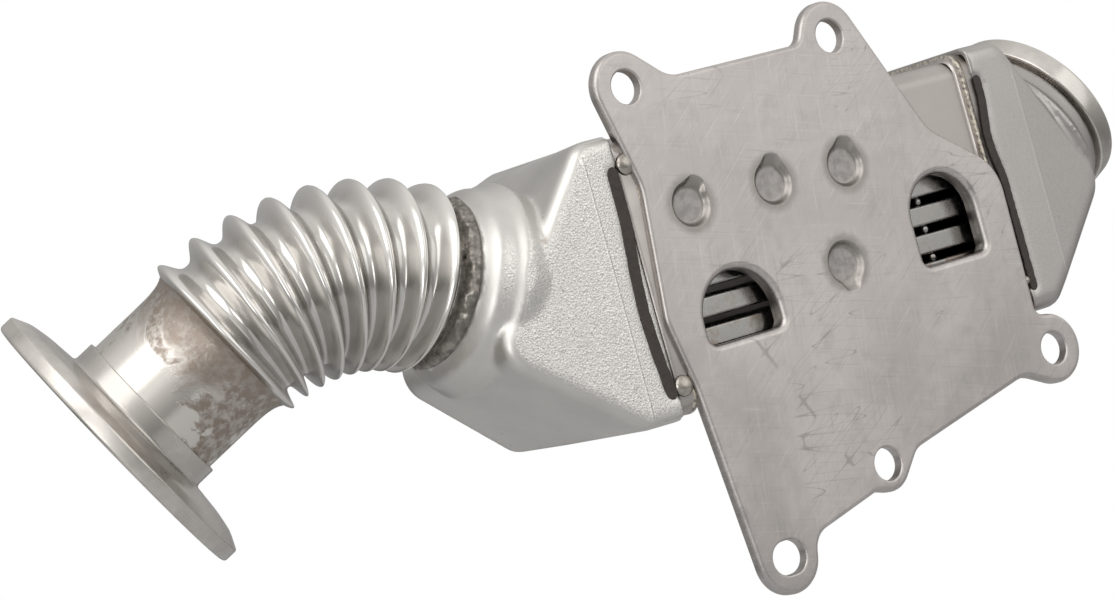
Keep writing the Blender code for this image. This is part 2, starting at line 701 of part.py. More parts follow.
def outward_axis(side, tilt, origin):
    """Frame of a round end: local z out of the hood, tilted up, and local x on its upward side."""
    tilt = math.radians(tilt)
    z = Vector((side * math.cos(tilt), 0.0, math.sin(tilt)))
    x = Vector((-side * math.sin(tilt), 0.0, math.cos(tilt)))
    return axes(origin, x, z.cross(x), z)


def hood_block(shop, side, reach, tip_height, crease, lean, wall):
    """Solid of a hood's outside, or of its inside where wall is given."""
    low, tip, high = reach
    open_end = HOOD_START - 4 * HOOD_ROUND
    circles = corner_circles((
        (open_end, -HOOD_HALF_HEIGHT, HOOD_CORNER),
        (HEADER_END + low, -HOOD_HALF_HEIGHT, HOOD_CORNER),
        (HEADER_END + tip, tip_height, HOOD_TIP),
        (HEADER_END + high, HOOD_HALF_HEIGHT, HOOD_CORNER),
        (open_end, HOOD_HALF_HEIGHT, HOOD_CORNER),
    ))
    r = HOOD_ROUND - wall
    edge = []
    for degrees in (0.0, 45.0, 90.0):
        angle = math.radians(degrees)
        edge.append((belt(circles, -wall - r * (1 - math.sin(angle))), r * (1 - math.cos(angle))))
    rings = [(ring, depth - HOOD_BACK + wall) for ring, depth in edge]
    rings += [(ring, -HOOD_FRONT - wall - depth) for ring, depth in edge[::-1]]
    bm = loft(rings)
    bm.transform(shop.front.matrix_world)
    start = HOOD_START - (CUT if wall else 0.0)
    slice_at(bm, start, clear=True)
    bmesh.ops.contextual_create(bm, geom=[edge for edge in bm.edges if edge.is_boundary])
    crease += HEADER_END
    slice_at(bm, crease, clear=False)
    for vert in bm.verts:
        # the back leans in from the rim to the crease and keeps its new height from there on
        depth = (vert.co.y - HOOD_FRONT) / (HOOD_BACK - HOOD_FRONT)
        share = max(0.0, min(1.0, (vert.co.x - HOOD_START) / (crease - HOOD_START))) * depth
        if vert.co.z > 0:
            vert.co.z -= lean[0] * share
        elif vert.co.z < tip_height - HOOD_TIP:
            vert.co.z += lean[1] * share
            vert.co.x += lean[2] * share
    for vert in bm.verts:
        # the walls close in on the middle of the core, the inside with the outside
        beyond = max(0.0, vert.co.x - crease)
        vert.co.y -= beyond * HOOD_SLOPE * (vert.co.y - CORE_MIDDLE) / (HOOD_BACK - CORE_MIDDLE)
    bm.transform(Matrix.Scale(side, 4, (1, 0, 0)))
    return bm


def slice_at(bm, x, clear):
    bmesh.ops.bisect_plane(bm, geom=bm.verts[:] + bm.edges[:] + bm.faces[:], dist=WELD_LIMIT,
                           plane_co=(x, 0, 0), plane_no=(1, 0, 0), clear_inner=clear)


def hood(shop, name, side, shape, collar, bore, bulge):
    """Gas hood: a wedge-shaped shell with a round collar on its sloping end."""
    made = shop.link(name, hood_block(shop, side, *shape, 0.0), BLASTED)
    join(made, collar)
    cut(made, shop.cutter(f"{name}_inside", hood_block(shop, side, *shape, HOOD_WALL)))
    cut(made, bore)
    groove = prism(seam_outline(side, bulge, 0.0), -HEADER_FRONT, CUT)
    cut(made, shop.cutter(f"{name}_groove", groove, shop.front))


def hoods(shop):
    deep = BOSS_ROOT
    top = BOSS_RADIUS - BOSS_TAPER
    profile = [(0.0, BOSS_HEIGHT), (top - BOSS_EDGE, BOSS_HEIGHT), (top, BOSS_HEIGHT - BOSS_EDGE),
               (BOSS_RADIUS, 0.0), (BOSS_RADIUS, -deep), (0.0, -deep)]
    boss = shop.cutter("inlet_boss", turned(profile, RIM_STEPS), shop.inlet)
    radius = BELLOWS_CUFF_RADIUS + GAP
    profile = [(0.0, BOSS_HEIGHT + CUT), (radius, BOSS_HEIGHT + CUT), (radius, -deep - CUT),
               (0.0, -deep - CUT)]
    bore = shop.cutter("inlet_bore", turned(profile, ROUND_STEPS), shop.inlet)
    shape = (INLET_REACH, INLET_TIP_HEIGHT, INLET_CREASE, INLET_LEAN)
    hood(shop, "inlet_hood", -1, shape, boss, bore, INLET_SEAM_BULGE)

    end = RING_LENGTH - RING_BORE_LIP - GAP
    deep = NECK_FOOT * 2
    foot = NECK_RADIUS + NECK_FLARE
    profile = [(0.0, end), (NECK_RADIUS, end), (NECK_RADIUS, -NECK_FOOT * 0.4),
               (foot, -NECK_FOOT), (foot, -deep), (0.0, -deep)]
    neck = shop.cutter("outlet_neck", turned(profile, RIM_STEPS), shop.outlet)
    radius = NECK_RADIUS - NECK_WALL
    profile = [(0.0, end + CUT), (radius, end + CUT), (radius, -deep - CUT), (0.0, -deep - CUT)]
    bore = shop.cutter("outlet_bore", turned(profile, ROUND_STEPS), shop.outlet)
    shape = (OUTLET_REACH, OUTLET_TIP_HEIGHT, OUTLET_CREASE, OUTLET_LEAN)
    hood(shop, "outlet_hood", 1, shape, neck, bore, OUTLET_SEAM_BULGE)


def seam_outline(side, bulge, clearance):
    """Outline of the braze seam between hood and header, with its bulge round the plate."""
    height, middle, half = bulge
    top, bottom = SEAM_TOP - clearance, SEAM_BOTTOM + clearance
    inner, outer = [], []
    for i in range(SEAM_STEPS + 1):
        z = bottom + (top - bottom) * i / SEAM_STEPS
        share = min(1.0, abs(z - middle) / half)
        shift = height * 0.5 * (1.0 + math.cos(math.pi * share))
        # the ends are drawn in so that the seam stops in a round
        end = min(z - bottom, top - z)
        width = SEAM_WIDTH * math.sqrt(min(1.0, end / SEAM_WIDTH + 0.15)) - 2 * clearance
        near = HEADER_END - SEAM_START + shift + clearance
        inner.append((side * near, z))
        outer.append((side * (near + width), z))
    return outer + inner[::-1] if side > 0 else inner[::-1] + outer


def braze_seams(shop):
    """Seams in their grooves, and the tack welds that held the pieces before brazing."""
    for name, side, bulge in (("inlet_braze_seam", -1, INLET_SEAM_BULGE),
                              ("outlet_braze_seam", 1, OUTLET_SEAM_BULGE)):
        fill = prism(seam_outline(side, bulge, GAP), GAP - HEADER_FRONT, -HOOD_FRONT - SEAM_SINK)
        shop.link(name, fill, BRAZE, shop.front)
    rooms = [bpy.data.objects[n] for n in ("plate_room", "inlet_hood_groove", "outlet_hood_groove")]
    for name, side, inset, z, size in TACKS:
        radius, height = TACK_RADIUS * size, TACK_HEIGHT
        profile = [(0.0, height), (radius * 0.6, height * 0.85), (radius, height * 0.4), (radius, 0.0),
                   (0.0, 0.0)]
        at = (side * (HEADER_END - inset), z, GAP - HEADER_FRONT)
        tack = shop.link(name, turned(profile, TACK_STEPS), WELD, shop.front, at)
        for room in rooms:
            cut(tack, room)


def outlet_ring(shop):
    inner = NECK_RADIUS + GAP
    lip = NECK_RADIUS - NECK_WALL
    profile = [(lip, RING_LENGTH), (RING_RADIUS - RING_BEVEL, RING_LENGTH),
               (RING_RADIUS, RING_LENGTH - RING_BEVEL), (RING_RADIUS, RING_BEVEL / 2),
               (RING_RADIUS - RING_BEVEL / 2, 0.0), (inner, 0.0),
               (inner, RING_LENGTH - RING_BORE_LIP), (lip, RING_LENGTH - RING_BORE_LIP)]
    shop.link("outlet_ring", turned(profile, RIM_STEPS), TURNED, shop.outlet)


def bend_point(x, y, s):
    """Place a point that lies s along the straight centre line on the bent one.

    Local frame of the inlet's axis. The bend starts at the first crest and ends at the last.
    """
    angle = math.radians(BELLOWS_BEND)
    radius = BELLOWS_RUN / angle
    twist = math.radians(BELLOWS_BEND_TWIST)
    inward = Vector((math.cos(twist), math.sin(twist), 0.0))
    across = Vector((-inward.y, inward.x, 0.0))
    flat = Vector((x, y, 0.0))
    turn = max(0.0, min(1.0, (s - FIRST_CREST) / BELLOWS_RUN)) * angle
    before = min(s, FIRST_CREST)
    after = max(0.0, s - FIRST_CREST - BELLOWS_RUN)
    along = Vector((0.0, 0.0, math.cos(turn))) + inward * math.sin(turn)
    toward = inward * math.cos(turn) - Vector((0.0, 0.0, math.sin(turn)))
    centre = Vector((0.0, 0.0, before + radius * math.sin(turn))) + inward * radius * (1 - math.cos(turn))
    return centre + along * after + toward * flat.dot(inward) + across * flat.dot(across)


def bent(profile, steps):
    """Turned body whose axis follows the bellows' centre line."""
    bm = turned(profile, steps)
    for vert in bm.verts:
        vert.co = bend_point(*vert.co)
    return bm


def wave(start, count, depth):
    """The bellows' side from valley to valley, sunk by a depth, as (radius, s) points."""
    points = []
    for i in range(BELLOWS_CONVOLUTIONS * count + 1):
        level = -math.cos(2 * math.pi * i / count)
        full = math.copysign(abs(level) ** CREST_FULLNESS, level)
        radius = BELLOWS_VALLEY_RADIUS + BELLOWS_HEIGHT * (1 + full) / 2
        points.append((radius - depth, start + BELLOWS_PITCH * i / count))
    return points


def bellows(shop):
    """Thin wall with eight convolutions and a plain cuff at each end, bent in one piece."""
    start = FIRST_CREST - BELLOWS_PITCH / 2
    end = start + BELLOWS_BODY
    step = BELLOWS_PITCH / 8
    cuff = BELLOWS_CUFF_RADIUS
    outer = [(cuff, start - BELLOWS_CUFF), (cuff, start - step), *wave(start, WAVE_STEPS, 0.0),
             (cuff, end + step), (cuff, end + BELLOWS_CUFF)]
    cuff -= BELLOWS_WALL
    inner = [(cuff, start - BELLOWS_CUFF), (cuff, start - step),
             *wave(start, INNER_WAVE_STEPS, BELLOWS_WALL), (cuff, end + step), (cuff, end + BELLOWS_CUFF)]
    shop.link("bellows", bent(outer[::-1] + inner, ROUND_STEPS), POLISHED, shop.inlet, sharp=75.0)


def bellows_weld(shop):
    """Weld bead round the bellows' cuff, on the boss."""
    centre = (BELLOWS_CUFF_RADIUS + GAP + WELD_RADIUS, BOSS_HEIGHT + GAP + WELD_RADIUS)
    profile = arc(centre, WELD_RADIUS, 2 * math.pi, 0, math.pi / 3)[:-1]
    shop.link("bellows_weld", turned(profile, ROUND_STEPS), WELD, shop.inlet)


def neck_and_flange(shop):
    """Pipe over the bellows' cuff, and the turned flange whose hub takes the pipe."""
    last_crest = FIRST_CREST + BELLOWS_RUN
    pipe_start = last_crest + BELLOWS_PITCH / 2 + BELLOWS_PITCH / 8 + GAP
    face = last_crest + FLANGE_REACH
    back = face - FLANGE_THICKNESS
    pipe_end = back + FLANGE_RIM / 2
    inside = PIPE_RADIUS - PIPE_WALL
    profile = [(inside, pipe_end), (PIPE_RADIUS, pipe_end), (PIPE_RADIUS, pipe_start), (inside, pipe_start)]
    shop.link("neck_pipe", bent(profile, ROUND_STEPS), TURNED, shop.inlet)
    seat = PIPE_RADIUS + GAP
    hub = seat + FLANGE_HUB_WALL
    rim, edge, fillet = FLANGE_RADIUS, FLANGE_EDGE, FLANGE_HUB_FILLET
    profile = [
        (FLANGE_BORE, face),
        (rim - edge, face),
        (rim, face - edge),
        (rim, face - FLANGE_RIM),
        (rim - FLANGE_BACK_CONE[0], face - FLANGE_RIM - FLANGE_BACK_CONE[1]),
        (rim - FLANGE_BACK_FACE[0], back + FLANGE_BACK_FACE[1]),
        (hub + fillet, back),
        (hub, back - fillet),
        (hub, back - FLANGE_HUB),
        (seat, back - FLANGE_HUB),
        (seat, pipe_end + GAP),
        (FLANGE_BORE, pipe_end + GAP),
    ]
    shop.link("inlet_flange", bent(profile, RIM_STEPS), TURNED, shop.inlet)


def main():
    clear_scene()
    shop = Shop()
    mounting_plate(shop)
    shell(shop)
    headers(shop)
    gas_tubes(shop)
    hoods(shop)
    braze_seams(shop)
    bellows(shop)
    bellows_weld(shop)
    neck_and_flange(shop)
    outlet_ring(shop)


main()
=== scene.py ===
"""Studio scene of a plate-mounted exhaust gas recirculation (EGR) cooler.

Every visible piece is modelled over its CAD solid in the same place and size, apart from the
fins inside the tubes, which keep their solids. Each has the finish that the real cooler shows:
brushed plate, blasted hoods, polished bellows, heat stained neck, dark brazing and rough welds.
Sizes are in metres.
"""

import math

import bmesh
import bpy
from bpy.props import FloatProperty, FloatVectorProperty, IntProperty, PointerProperty
from mathutils import Matrix, Vector, noise


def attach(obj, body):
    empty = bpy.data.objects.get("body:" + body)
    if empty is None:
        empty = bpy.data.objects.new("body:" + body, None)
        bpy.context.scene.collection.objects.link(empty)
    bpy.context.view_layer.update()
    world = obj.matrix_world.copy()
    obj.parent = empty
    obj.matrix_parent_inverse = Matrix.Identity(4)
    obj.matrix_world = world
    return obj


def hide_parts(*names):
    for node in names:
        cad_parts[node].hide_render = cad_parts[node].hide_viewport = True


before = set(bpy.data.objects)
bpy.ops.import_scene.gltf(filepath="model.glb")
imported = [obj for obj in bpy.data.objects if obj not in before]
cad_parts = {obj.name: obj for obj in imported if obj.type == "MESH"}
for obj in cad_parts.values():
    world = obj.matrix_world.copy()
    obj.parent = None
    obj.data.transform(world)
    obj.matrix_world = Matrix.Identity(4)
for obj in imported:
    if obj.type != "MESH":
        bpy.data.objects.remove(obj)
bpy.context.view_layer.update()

bl_info = {
    "name": "EGR cooler dressing",
    "version": (1, 0, 0),
    "blender": (4, 5, 0),
    "location": "3D View > Sidebar > EGR cooler",
    "description": "Models and finishes the visible pieces of an EGR cooler and sets its studio",
    "category": "Object",
}

TAU = 2 * math.pi
QUARTER = tuple(math.radians(angle) for angle in range(0, 91, 18))
GAP = 0.0003                    # clearance between two pieces

# Mounting plate outline: lugs and their hollows, seen from the front as (x, z)
LUG = 0.0094
SMALL_LUG = 0.0073
LUG_TOP_LEFT = (-0.0531, 0.0472)
LUG_TOP_RIGHT = (0.0145, 0.0479)
LUG_RIGHT = (0.0605, -0.0475)
LUG_BOTTOM = (-0.0046, -0.0630)
LUG_LOWER_LEFT = (-0.0430, -0.0776)
BOLT_HOLES = (LUG_TOP_LEFT, LUG_TOP_RIGHT, LUG_RIGHT, LUG_BOTTOM, LUG_LOWER_LEFT)
BOLT_HOLE_EDGE = 0.0006
SLOT_STRETCH = 0.0018
PLATE = 0.0030
PORT_FLARE_DEPTH = PLATE * 0.62
PORTS = (                       # x, radius, top and sill
    (-0.0365, 0.0120, -0.0038, -0.0212),
    (0.0364, 0.0110, 0.0061, -0.0172),
)
PORT_CORNER = 0.0024
POCKETS = (                     # x, z and direction of the nick in degrees
    (-0.0433, 0.0147, 58.0),
    (-0.0163, 0.0147, 77.0),
    (0.0080, 0.0144, 75.0),
    (-0.0004, -0.0102, -87.0),
)
POCKET = 0.0061
POCKET_DEPTH = 0.0018
POCKET_NICK = 0.0017
NICK_WIDTH = 0.45               # in radians
POCKET_WALL = (                 # inset, share of the nick and share of the depth, going down
    (0.00015, 1.0, 0.04), (0.0004, 0.95, 0.18), (0.0007, 0.85, 0.42), (0.0010, 0.66, 0.66),
    (0.0013, 0.40, 0.86), (0.0016, 0.15, 0.96), (0.0020, 0.0, 1.0),
)
BRUSH_ANGLES = (-14.0, 38.0, 81.0)
HAIR_ANGLES = (-9.0, 27.0)

# Core
SHELL_FRONT = 0.0033
SHELL_BACK = 0.0573
CORE_MIDDLE = (SHELL_FRONT + SHELL_BACK) / 2
SHELL_HALF_HEIGHT = 0.0343
SHELL_HALF_LENGTH = 0.0597
SHELL_WALL = 0.0015
SHELL_CORNER = 0.0050
SHELL_EDGE = 0.0056              # how far back the tray meets the cover
HEADER_FACE = 0.0615
HEADER_WALL = 0.0015
HEADER_LIP = 0.0060
LIP_WALL = 0.0016
LIP_ROUND = 0.0014
LIP_BEAD = 0.0016
LIP_SWELL = 0.0003
LIP_INSIDE = ((-0.25, 0.85), (-0.1, 0.55), (0.0, 0.2))          # along the bead, share of the step
LIP_OUTSIDE = (                 # along the bead, share of the swell
    (0.15, 0.8), (0.3, 1.0), (0.5, 1.0), (0.75, 0.5), (1.0, 0.0),
)
SHELL_STEP = 0.0015              # how far the shell lies under the lip's outside
HEADER_FRONT = 0.0018
HEADER_BACK = 0.0588
HEADER_HALF_HEIGHT = 0.0358
HEADER_CORNER = 0.0065
TUBES = 8
TUBE_PITCH = 0.0076
TUBE_THICKNESS = 0.0054
TUBE_WIDTH = 0.0464
TUBE_WALL = 0.0005
TUBE_HALF_LENGTH = 0.0625
RIB_PITCH = 0.0024
SPACED_TUBES = (1, 2, 3)
SPACER = (0.0350, 0.0085, 0.00115)               # x, y and radius of the dots between tubes

# Hoods
HOOD_FRONT = 0.00085
HOOD_BACK = 0.05975
HOOD_WALL = 0.0019
HOOD_ROUND = 0.0037
HOOD_SLOPE = 0.083
INLET_CREASE = 0.0715
OUTLET_CREASE = 0.0732
INLET_SHAPE = (                 # start, corners (reach, z, radius), crease, and lean of its corners
    0.0615, ((0.0120, -0.0369, 0.0065), (0.0480, -0.0095, 0.0090), (0.0100, 0.0369, 0.0065)),
    INLET_CREASE, (0.0036, 0.0018, 0.0045),
)
OUTLET_SHAPE = (
    0.0592, ((0.0070, -0.0369, 0.0065), (0.0365, -0.0070, 0.0090), (0.0100, 0.0369, 0.0065)),
    OUTLET_CREASE, (0.0, 0.0, 0.0),
)
INLET_STAINS = (((-0.0874, 0.0036, 0.0149), 0.0013),)               # place and radius
OUTLET_STAINS = (((0.0626, 0.0009, 0.0266), 0.0007),)
BOSS_PIP = Vector((-0.1121, 0.0300, -0.0060))
BOSS_PIP_RADIUS = 0.0017
BORE_PAST = 0.0040              # how far a bore's cutter reaches past the collar

# Braze seams and tacks
SEAM_BOTTOM = -0.0313
SEAM_TOP = 0.0288
SEAM_STEPS = 90
SEAM_RAG = 0.00035
INLET_SEAM = (-1, 0.0616, 0.0037, 0.0020, -0.0090, 0.0300)     # side, start, width, and height,
OUTLET_SEAM = (1, 0.0592, 0.0027, -0.0015, 0.0110, 0.0135)     # middle and half length of its bulge
TACK_LUMP = 0.00012
TACK_BACK = 0.15                # how much of a tack's ball is left behind the header's front
TACKS = (                       # name, x, z and radius
    ("tack_weld_upper", -0.0587, 0.0286, 0.0028),
    ("tack_weld_lower", -0.0595, -0.0286, 0.0028),
    ("tack_weld_outlet", 0.0582, -0.0280, 0.0014),
)

# Inlet centre line
BOSS_FOOT = Vector((-0.1008, 0.0280, 0.0106))
BOSS_TILT = math.radians(23.1)
BOSS_RADIUS = 0.0215
BOSS_HEIGHT = 0.0053
BOSS_ROOT = 0.0140
BOSS_FLARE = (                  # past the boss's radius, and height
    (-0.0003, 0.0036), (0.0013, 0.0026), (0.0027, 0.0015), (0.0034, 0.0004), (0.0037, -0.0010),
    (0.0043, -0.0032), (0.0062, -0.0058),
)
BEND = math.radians(58.3)
BEND_TWIST = math.radians(150.3)
CRESTS = 8
CREST_STEPS = 20
FIRST_CREST = 0.01255
CREST_POWER = 1.5                # above 1 the crests are narrower than the valleys
CUFF = 0.0189
CUFF_LENGTH = 0.0062
CUFF_WALL = 0.0009
CUFF_STEP = 0.0006              # from the last valley to the straight cuff
BELLOWS_WALL = 0.0007
# grey of the painted shade in the bellows' valleys
VALLEY_SHADE = (0.31, 0.295, 0.275)
WELD_RISE = 0.0021
WELD_HEIGHT = WELD_RISE * 1.45
WELD_LUMPS = ((330.0, 0.0007), (1300.0, 0.00035))               # fineness and height
PIPE = 0.0200
PIPE_WALL = 0.0008
PIPE_ROWS = 32
PIPE_BACK = 0.0058              # from the flange's face to the pipe's end
NECK_START = 0.20               # in pitches past the last crest
NECK_FLARE = 0.0016
NECK_FLARE_RUN = 0.0022
FLANGE_BORE = 0.0180
FLANGE_REACH = 0.0379
FLANGE_THICKNESS = 0.0078
HUB_LENGTH = 0.0056
HUB_WALL = 0.0009

# Outlet
RING_NEAR = Vector((0.0974, 0.0300, 0.0131))
RING_TILT = math.radians(28.0)
RING_RADIUS = 0.0258
RING_LENGTH = 0.0062
NECK = 0.0228
NECK_BORE = 0.0210
NECK_FOOT = 0.0262
NECK_FOOT_BACK = 0.0063

# Camera of the photograph
IMAGE_WIDTH = 1114
FOCAL_PIXELS = 3510.0
SENSOR = 36.0
CAMERA_RIGHT = Vector((0.7989, -0.5388, -0.2672))
CAMERA_UP = Vector((0.2215, -0.1494, 0.9636))
CAMERA_BACK = Vector((-0.5592, -0.8290, 0.0))
CAMERA_PLACE = Vector((-0.5697, -0.7106, 0.0005))

# Studio
LAMPS = (                       # name, place, width and power
    ("key", (-0.75, -0.55, 0.95), 1.10, 5.0),
    ("fill", (0.50, -1.05, 0.35), 0.90, 1.5),
    ("left", (-1.05, -0.62, 0.05), 0.45, 1.6),
)
LAMP_AIM = Vector((-0.05, 0.03, 0.0))
SKY = (                         # axis, its range, and the reflected light at both ends
    ("Z", -0.70, 0.55, 0.18, 1.0),
    ("Y", 0.10, 0.90, 1.0, 0.52),
)
SOFT_LIGHT = 0.45
WHITE = (1.0, 1.0, 1.0, 1.0)
WARM_WHITE = (1.0, 0.99, 0.975, 1.0)
FLOOR_PLACE = (-0.05, 0.04, -0.36)
FLOOR_HALF = 0.8


class CoolerSizes(bpy.types.PropertyGroup):
    round_steps: IntProperty(name="Round steps", description="Segments round a turned piece",
                             default=160, min=32, max=360)
    plate_round: FloatProperty(name="Plate edge", description="Radius of the plate's front edge",
                               default=0.0013, min=0.0003, max=0.0020, unit="LENGTH")
    hole_diameter: FloatProperty(name="Bolt hole", description="Diameter of the bolt holes",
                                 default=0.0087, min=0.0070, max=0.0100, unit="LENGTH")
    port_flare: FloatProperty(name="Port flare", description="Width of the flare round the ports",
                              default=0.0019, min=0.0005, max=0.0030, unit="LENGTH")
    hood_grain: FloatProperty(name="Hood voxel", description="Cell size of the pressed hoods' surface",
                              default=0.00075, min=0.0005, max=0.0020, unit="LENGTH")
    crest_radius: FloatProperty(name="Crest radius", description="Outer radius of the bellows",
                                default=0.0238, min=0.0210, max=0.0238, unit="LENGTH")
    valley_depth: FloatProperty(name="Valley depth", description="Crest to valley of the bellows",
                                default=0.0046, min=0.0020, max=0.0050, unit="LENGTH")
    pitch: FloatProperty(name="Pitch", description="Distance between the bellows' crests",
                         default=0.0073, min=0.0060, max=0.0080, unit="LENGTH")
    flange_radius: FloatProperty(name="Flange radius", description="Outer radius of the inlet flange",
                                 default=0.0391, min=0.0300, max=0.0391, unit="LENGTH")


class CoolerFinish(bpy.types.PropertyGroup):
    plate: FloatVectorProperty(name="Plate", description="Brushed plate steel", subtype="COLOR",
                               default=(0.53, 0.498, 0.478), min=0.0, max=1.0)
    hood: FloatVectorProperty(name="Hood", description="Blasted hood steel", subtype="COLOR",
                              default=(0.62, 0.605, 0.58), min=0.0, max=1.0)
    outlet: FloatVectorProperty(name="Outlet hood", description="Matt outlet hood steel",
                                subtype="COLOR", default=(0.42, 0.40, 0.385), min=0.0, max=1.0)
    shell: FloatVectorProperty(name="Shell", description="Plain shell and header sheet",
                               subtype="COLOR", default=(0.44, 0.412, 0.39), min=0.0, max=1.0)
    weld: FloatVectorProperty(name="Weld", description="Scaled weld metal", subtype="COLOR",
                              default=(0.27, 0.25, 0.225), min=0.0, max=1.0)
    bellows: FloatVectorProperty(name="Bellows", description="Polished bellows steel", subtype="COLOR",
                                 default=(0.68, 0.662, 0.635), min=0.0, max=1.0)
    turned: FloatVectorProperty(name="Turned", description="Turned steel of flange and ring",
                                subtype="COLOR", default=(0.64, 0.61, 0.57), min=0.0, max=1.0)
    stain: FloatVectorProperty(name="Stain", description="Brown heat stain", subtype="COLOR",
                               default=(0.19, 0.15, 0.12), min=0.0, max=1.0)
    braze: FloatVectorProperty(name="Braze", description="Dark brazing in the seams", subtype="COLOR",
                               default=(0.046, 0.036, 0.030), min=0.0, max=1.0)
    tube: FloatVectorProperty(name="Tube", description="Gas tube steel", subtype="COLOR",
                              default=(0.36, 0.355, 0.34), min=0.0, max=1.0)


def sizes():
    return bpy.context.scene.cooler_sizes


def finish():
    return bpy.context.scene.cooler_finish


def arc(centre, radius, start, end, step):
    """Points on an arc between two angles in radians, ends included."""
    count = max(1, math.ceil(abs(end - start) / step))
    turn = [start + (end - start) * i / count for i in range(count + 1)]
    return [(centre[0] + radius * math.cos(a), centre[1] + radius * math.sin(a)) for a in turn]


def belt(circles, grow=0.0, step=math.radians(7.0)):
    """Outline pulled round circles like a belt, anticlockwise; negative circles lie outside it."""
    headings = []
    for (centre, radius), (after, next_radius) in zip(circles, circles[1:] + circles[:1]):
        run, rise = after[0] - centre[0], after[1] - centre[1]
        lean = (next_radius - radius) / math.hypot(run, rise)
        headings.append(math.atan2(rise, run) - math.asin(max(-1.0, min(1.0, lean))))
    points = []
    for i, (centre, radius) in enumerate(circles):
        turn = (headings[i] - headings[i - 1] + math.pi) % TAU - math.pi
        if radius > 0 and turn < 0:
            turn += TAU
        side = headings[i - 1] - math.copysign(math.pi / 2, radius)
        points += arc(centre, abs(radius + grow), side, side + turn, step)
    return points


def next_to(circle, radius, degrees, gap):
    """Circle that curves the other way, beside another one in a given direction."""
    (x, z), other = circle
    reach = abs(other) + radius + gap
    angle = math.radians(degrees)
    centre = (x + reach * math.cos(angle), z + reach * math.sin(angle))
    return centre, math.copysign(radius, -other)


def plate_circles():
    """The mounting plate's lugs, corners and hollows, anticlockwise from the top left lug."""
    top_left = (LUG_TOP_LEFT, LUG)
    top_right = (LUG_TOP_RIGHT, LUG)
    right = (LUG_RIGHT, LUG)
    bottom = (LUG_BOTTOM, SMALL_LUG)
    lower_left = (LUG_LOWER_LEFT, LUG)
    small_hollow = next_to(bottom, 0.0040, -119.5, 0.0003)
    return [
        top_left,
        ((-0.0700, 0.0210), -0.0132),
        ((-0.0485, -0.0115), 0.0117),
        ((-0.0730, -0.0330), -0.0165),
        lower_left,
        next_to(lower_left, 0.0062, -7.4, 0.0001),
        small_hollow,
        bottom,
        next_to(bottom, 0.0062, -16.5, 0.0014),
        next_to(right, 0.0088, -133.5, 0.0010),
        right,
        next_to(right, 0.0027, 89.0, 0.0001),
        ((0.0450, -0.0032), 0.0137),
        ((0.0485, 0.0258), -0.0120),
        top_right,
        next_to(top_right, 0.0036, 165.0, 0.0003),
        next_to(top_left, 0.0087, 27.0, 0.0016),
    ]


def port_circles(x, radius, top, sill):
    low = sill + PORT_CORNER
    return [
        ((x, top - radius), radius),
        ((x - radius + PORT_CORNER, low), PORT_CORNER),
        ((x + radius - PORT_CORNER, low), PORT_CORNER),
    ]


def corner_circles(corners):
    """Circles for belt() that round the corners (x, z, radius) of a convex outline."""
    circles = []
    count = len(corners)
    for i, (x, z, radius) in enumerate(corners):
        lines = []
        for j in (i - 1, i):
            (x1, z1, _), (x2, z2, _) = corners[j], corners[(j + 1) % count]
            length = math.hypot(x2 - x1, z2 - z1)
            normal = ((z1 - z2) / length, (x2 - x1) / length)
            lines.append((normal, normal[0] * x + normal[1] * z + radius))
        (n1, d1), (n2, d2) = lines
        det = n1[0] * n2[1] - n1[1] * n2[0]
        circles.append((((d1 * n2[1] - d2 * n1[1]) / det, (n1[0] * d2 - n2[0] * d1) / det), radius))
    return circles


class Loop:
    """A closed edge loop of a bmesh that can be extruded ring by ring."""

    def __init__(self, bm, points):
        self.bm = bm
        self.verts = [bm.verts.new(p) for p in points]
        self.edges = [bm.edges.new((self.verts[i - 1], v)) for i, v in enumerate(self.verts)]
        self.first = list(self.edges)

    def to(self, points):
        made = bmesh.ops.extrude_edge_only(self.bm, edges=self.edges)["geom"]
        fresh = {g for g in made if isinstance(g, bmesh.types.BMVert)}
        self.edges = [g for g in made if isinstance(g, bmesh.types.BMEdge)
                      and all(v in fresh for v in g.verts)]
        moved = []
        for vert, point in zip(self.verts, points):
            partner = next(e.other_vert(vert) for e in vert.link_edges if e.other_vert(vert) in fresh)
            partner.co = point
            moved.append(partner)
        self.verts = moved
        return self


def fill(bm, edges):
    """Flat face inside an outer loop, with the inner loops as its holes."""
    bmesh.ops.triangle_fill(bm, edges=edges, use_beauty=True, use_dissolve=False)


def front(points, y):
    """Outline seen from the front, set back to y."""
    return [(x, y, z) for x, z in points]


def end_on(points, x):
    """Outline of the core seen from its end, at x."""
    return [(x, CORE_MIDDLE + y, z) for y, z in points]


def spun(profile, steps):
    """Turned body about z from a closed profile of (radius, z) points."""
    bm = bmesh.new()
    verts = [bm.verts.new((r, 0.0, z)) for r, z in profile]
    edges = [bm.edges.new((verts[i - 1], v)) for i, v in enumerate(verts)]
    bmesh.ops.spin(bm, geom=verts + edges, cent=(0, 0, 0), axis=(0, 0, 1), angle=TAU,
                   steps=steps, use_merge=True)
    bmesh.ops.remove_doubles(bm, verts=bm.verts, dist=1e-7)
    return bm


def rounded(profile, steps=5):
    """Closed profile of (radius, z, rounding) with its corners rounded, if their sides allow it."""
    points = []
    count = len(profile)
    for i, corner in enumerate(profile):
        here = Vector(corner[:2])
        if corner[2] == 0.0:
            points.append(tuple(here))
            continue
        before = Vector(profile[i - 1][:2]) - here
        after = Vector(profile[(i + 1) % count][:2]) - here
        reach = min(corner[2], before.length * 0.45, after.length * 0.45)
        a = here + before.normalized() * reach
        b = here + after.normalized() * reach
        for j in range(steps + 1):
            t = j / steps
            points.append(tuple(a * (1 - t) ** 2 + here * 2 * t * (1 - t) + b * t ** 2))
    return points


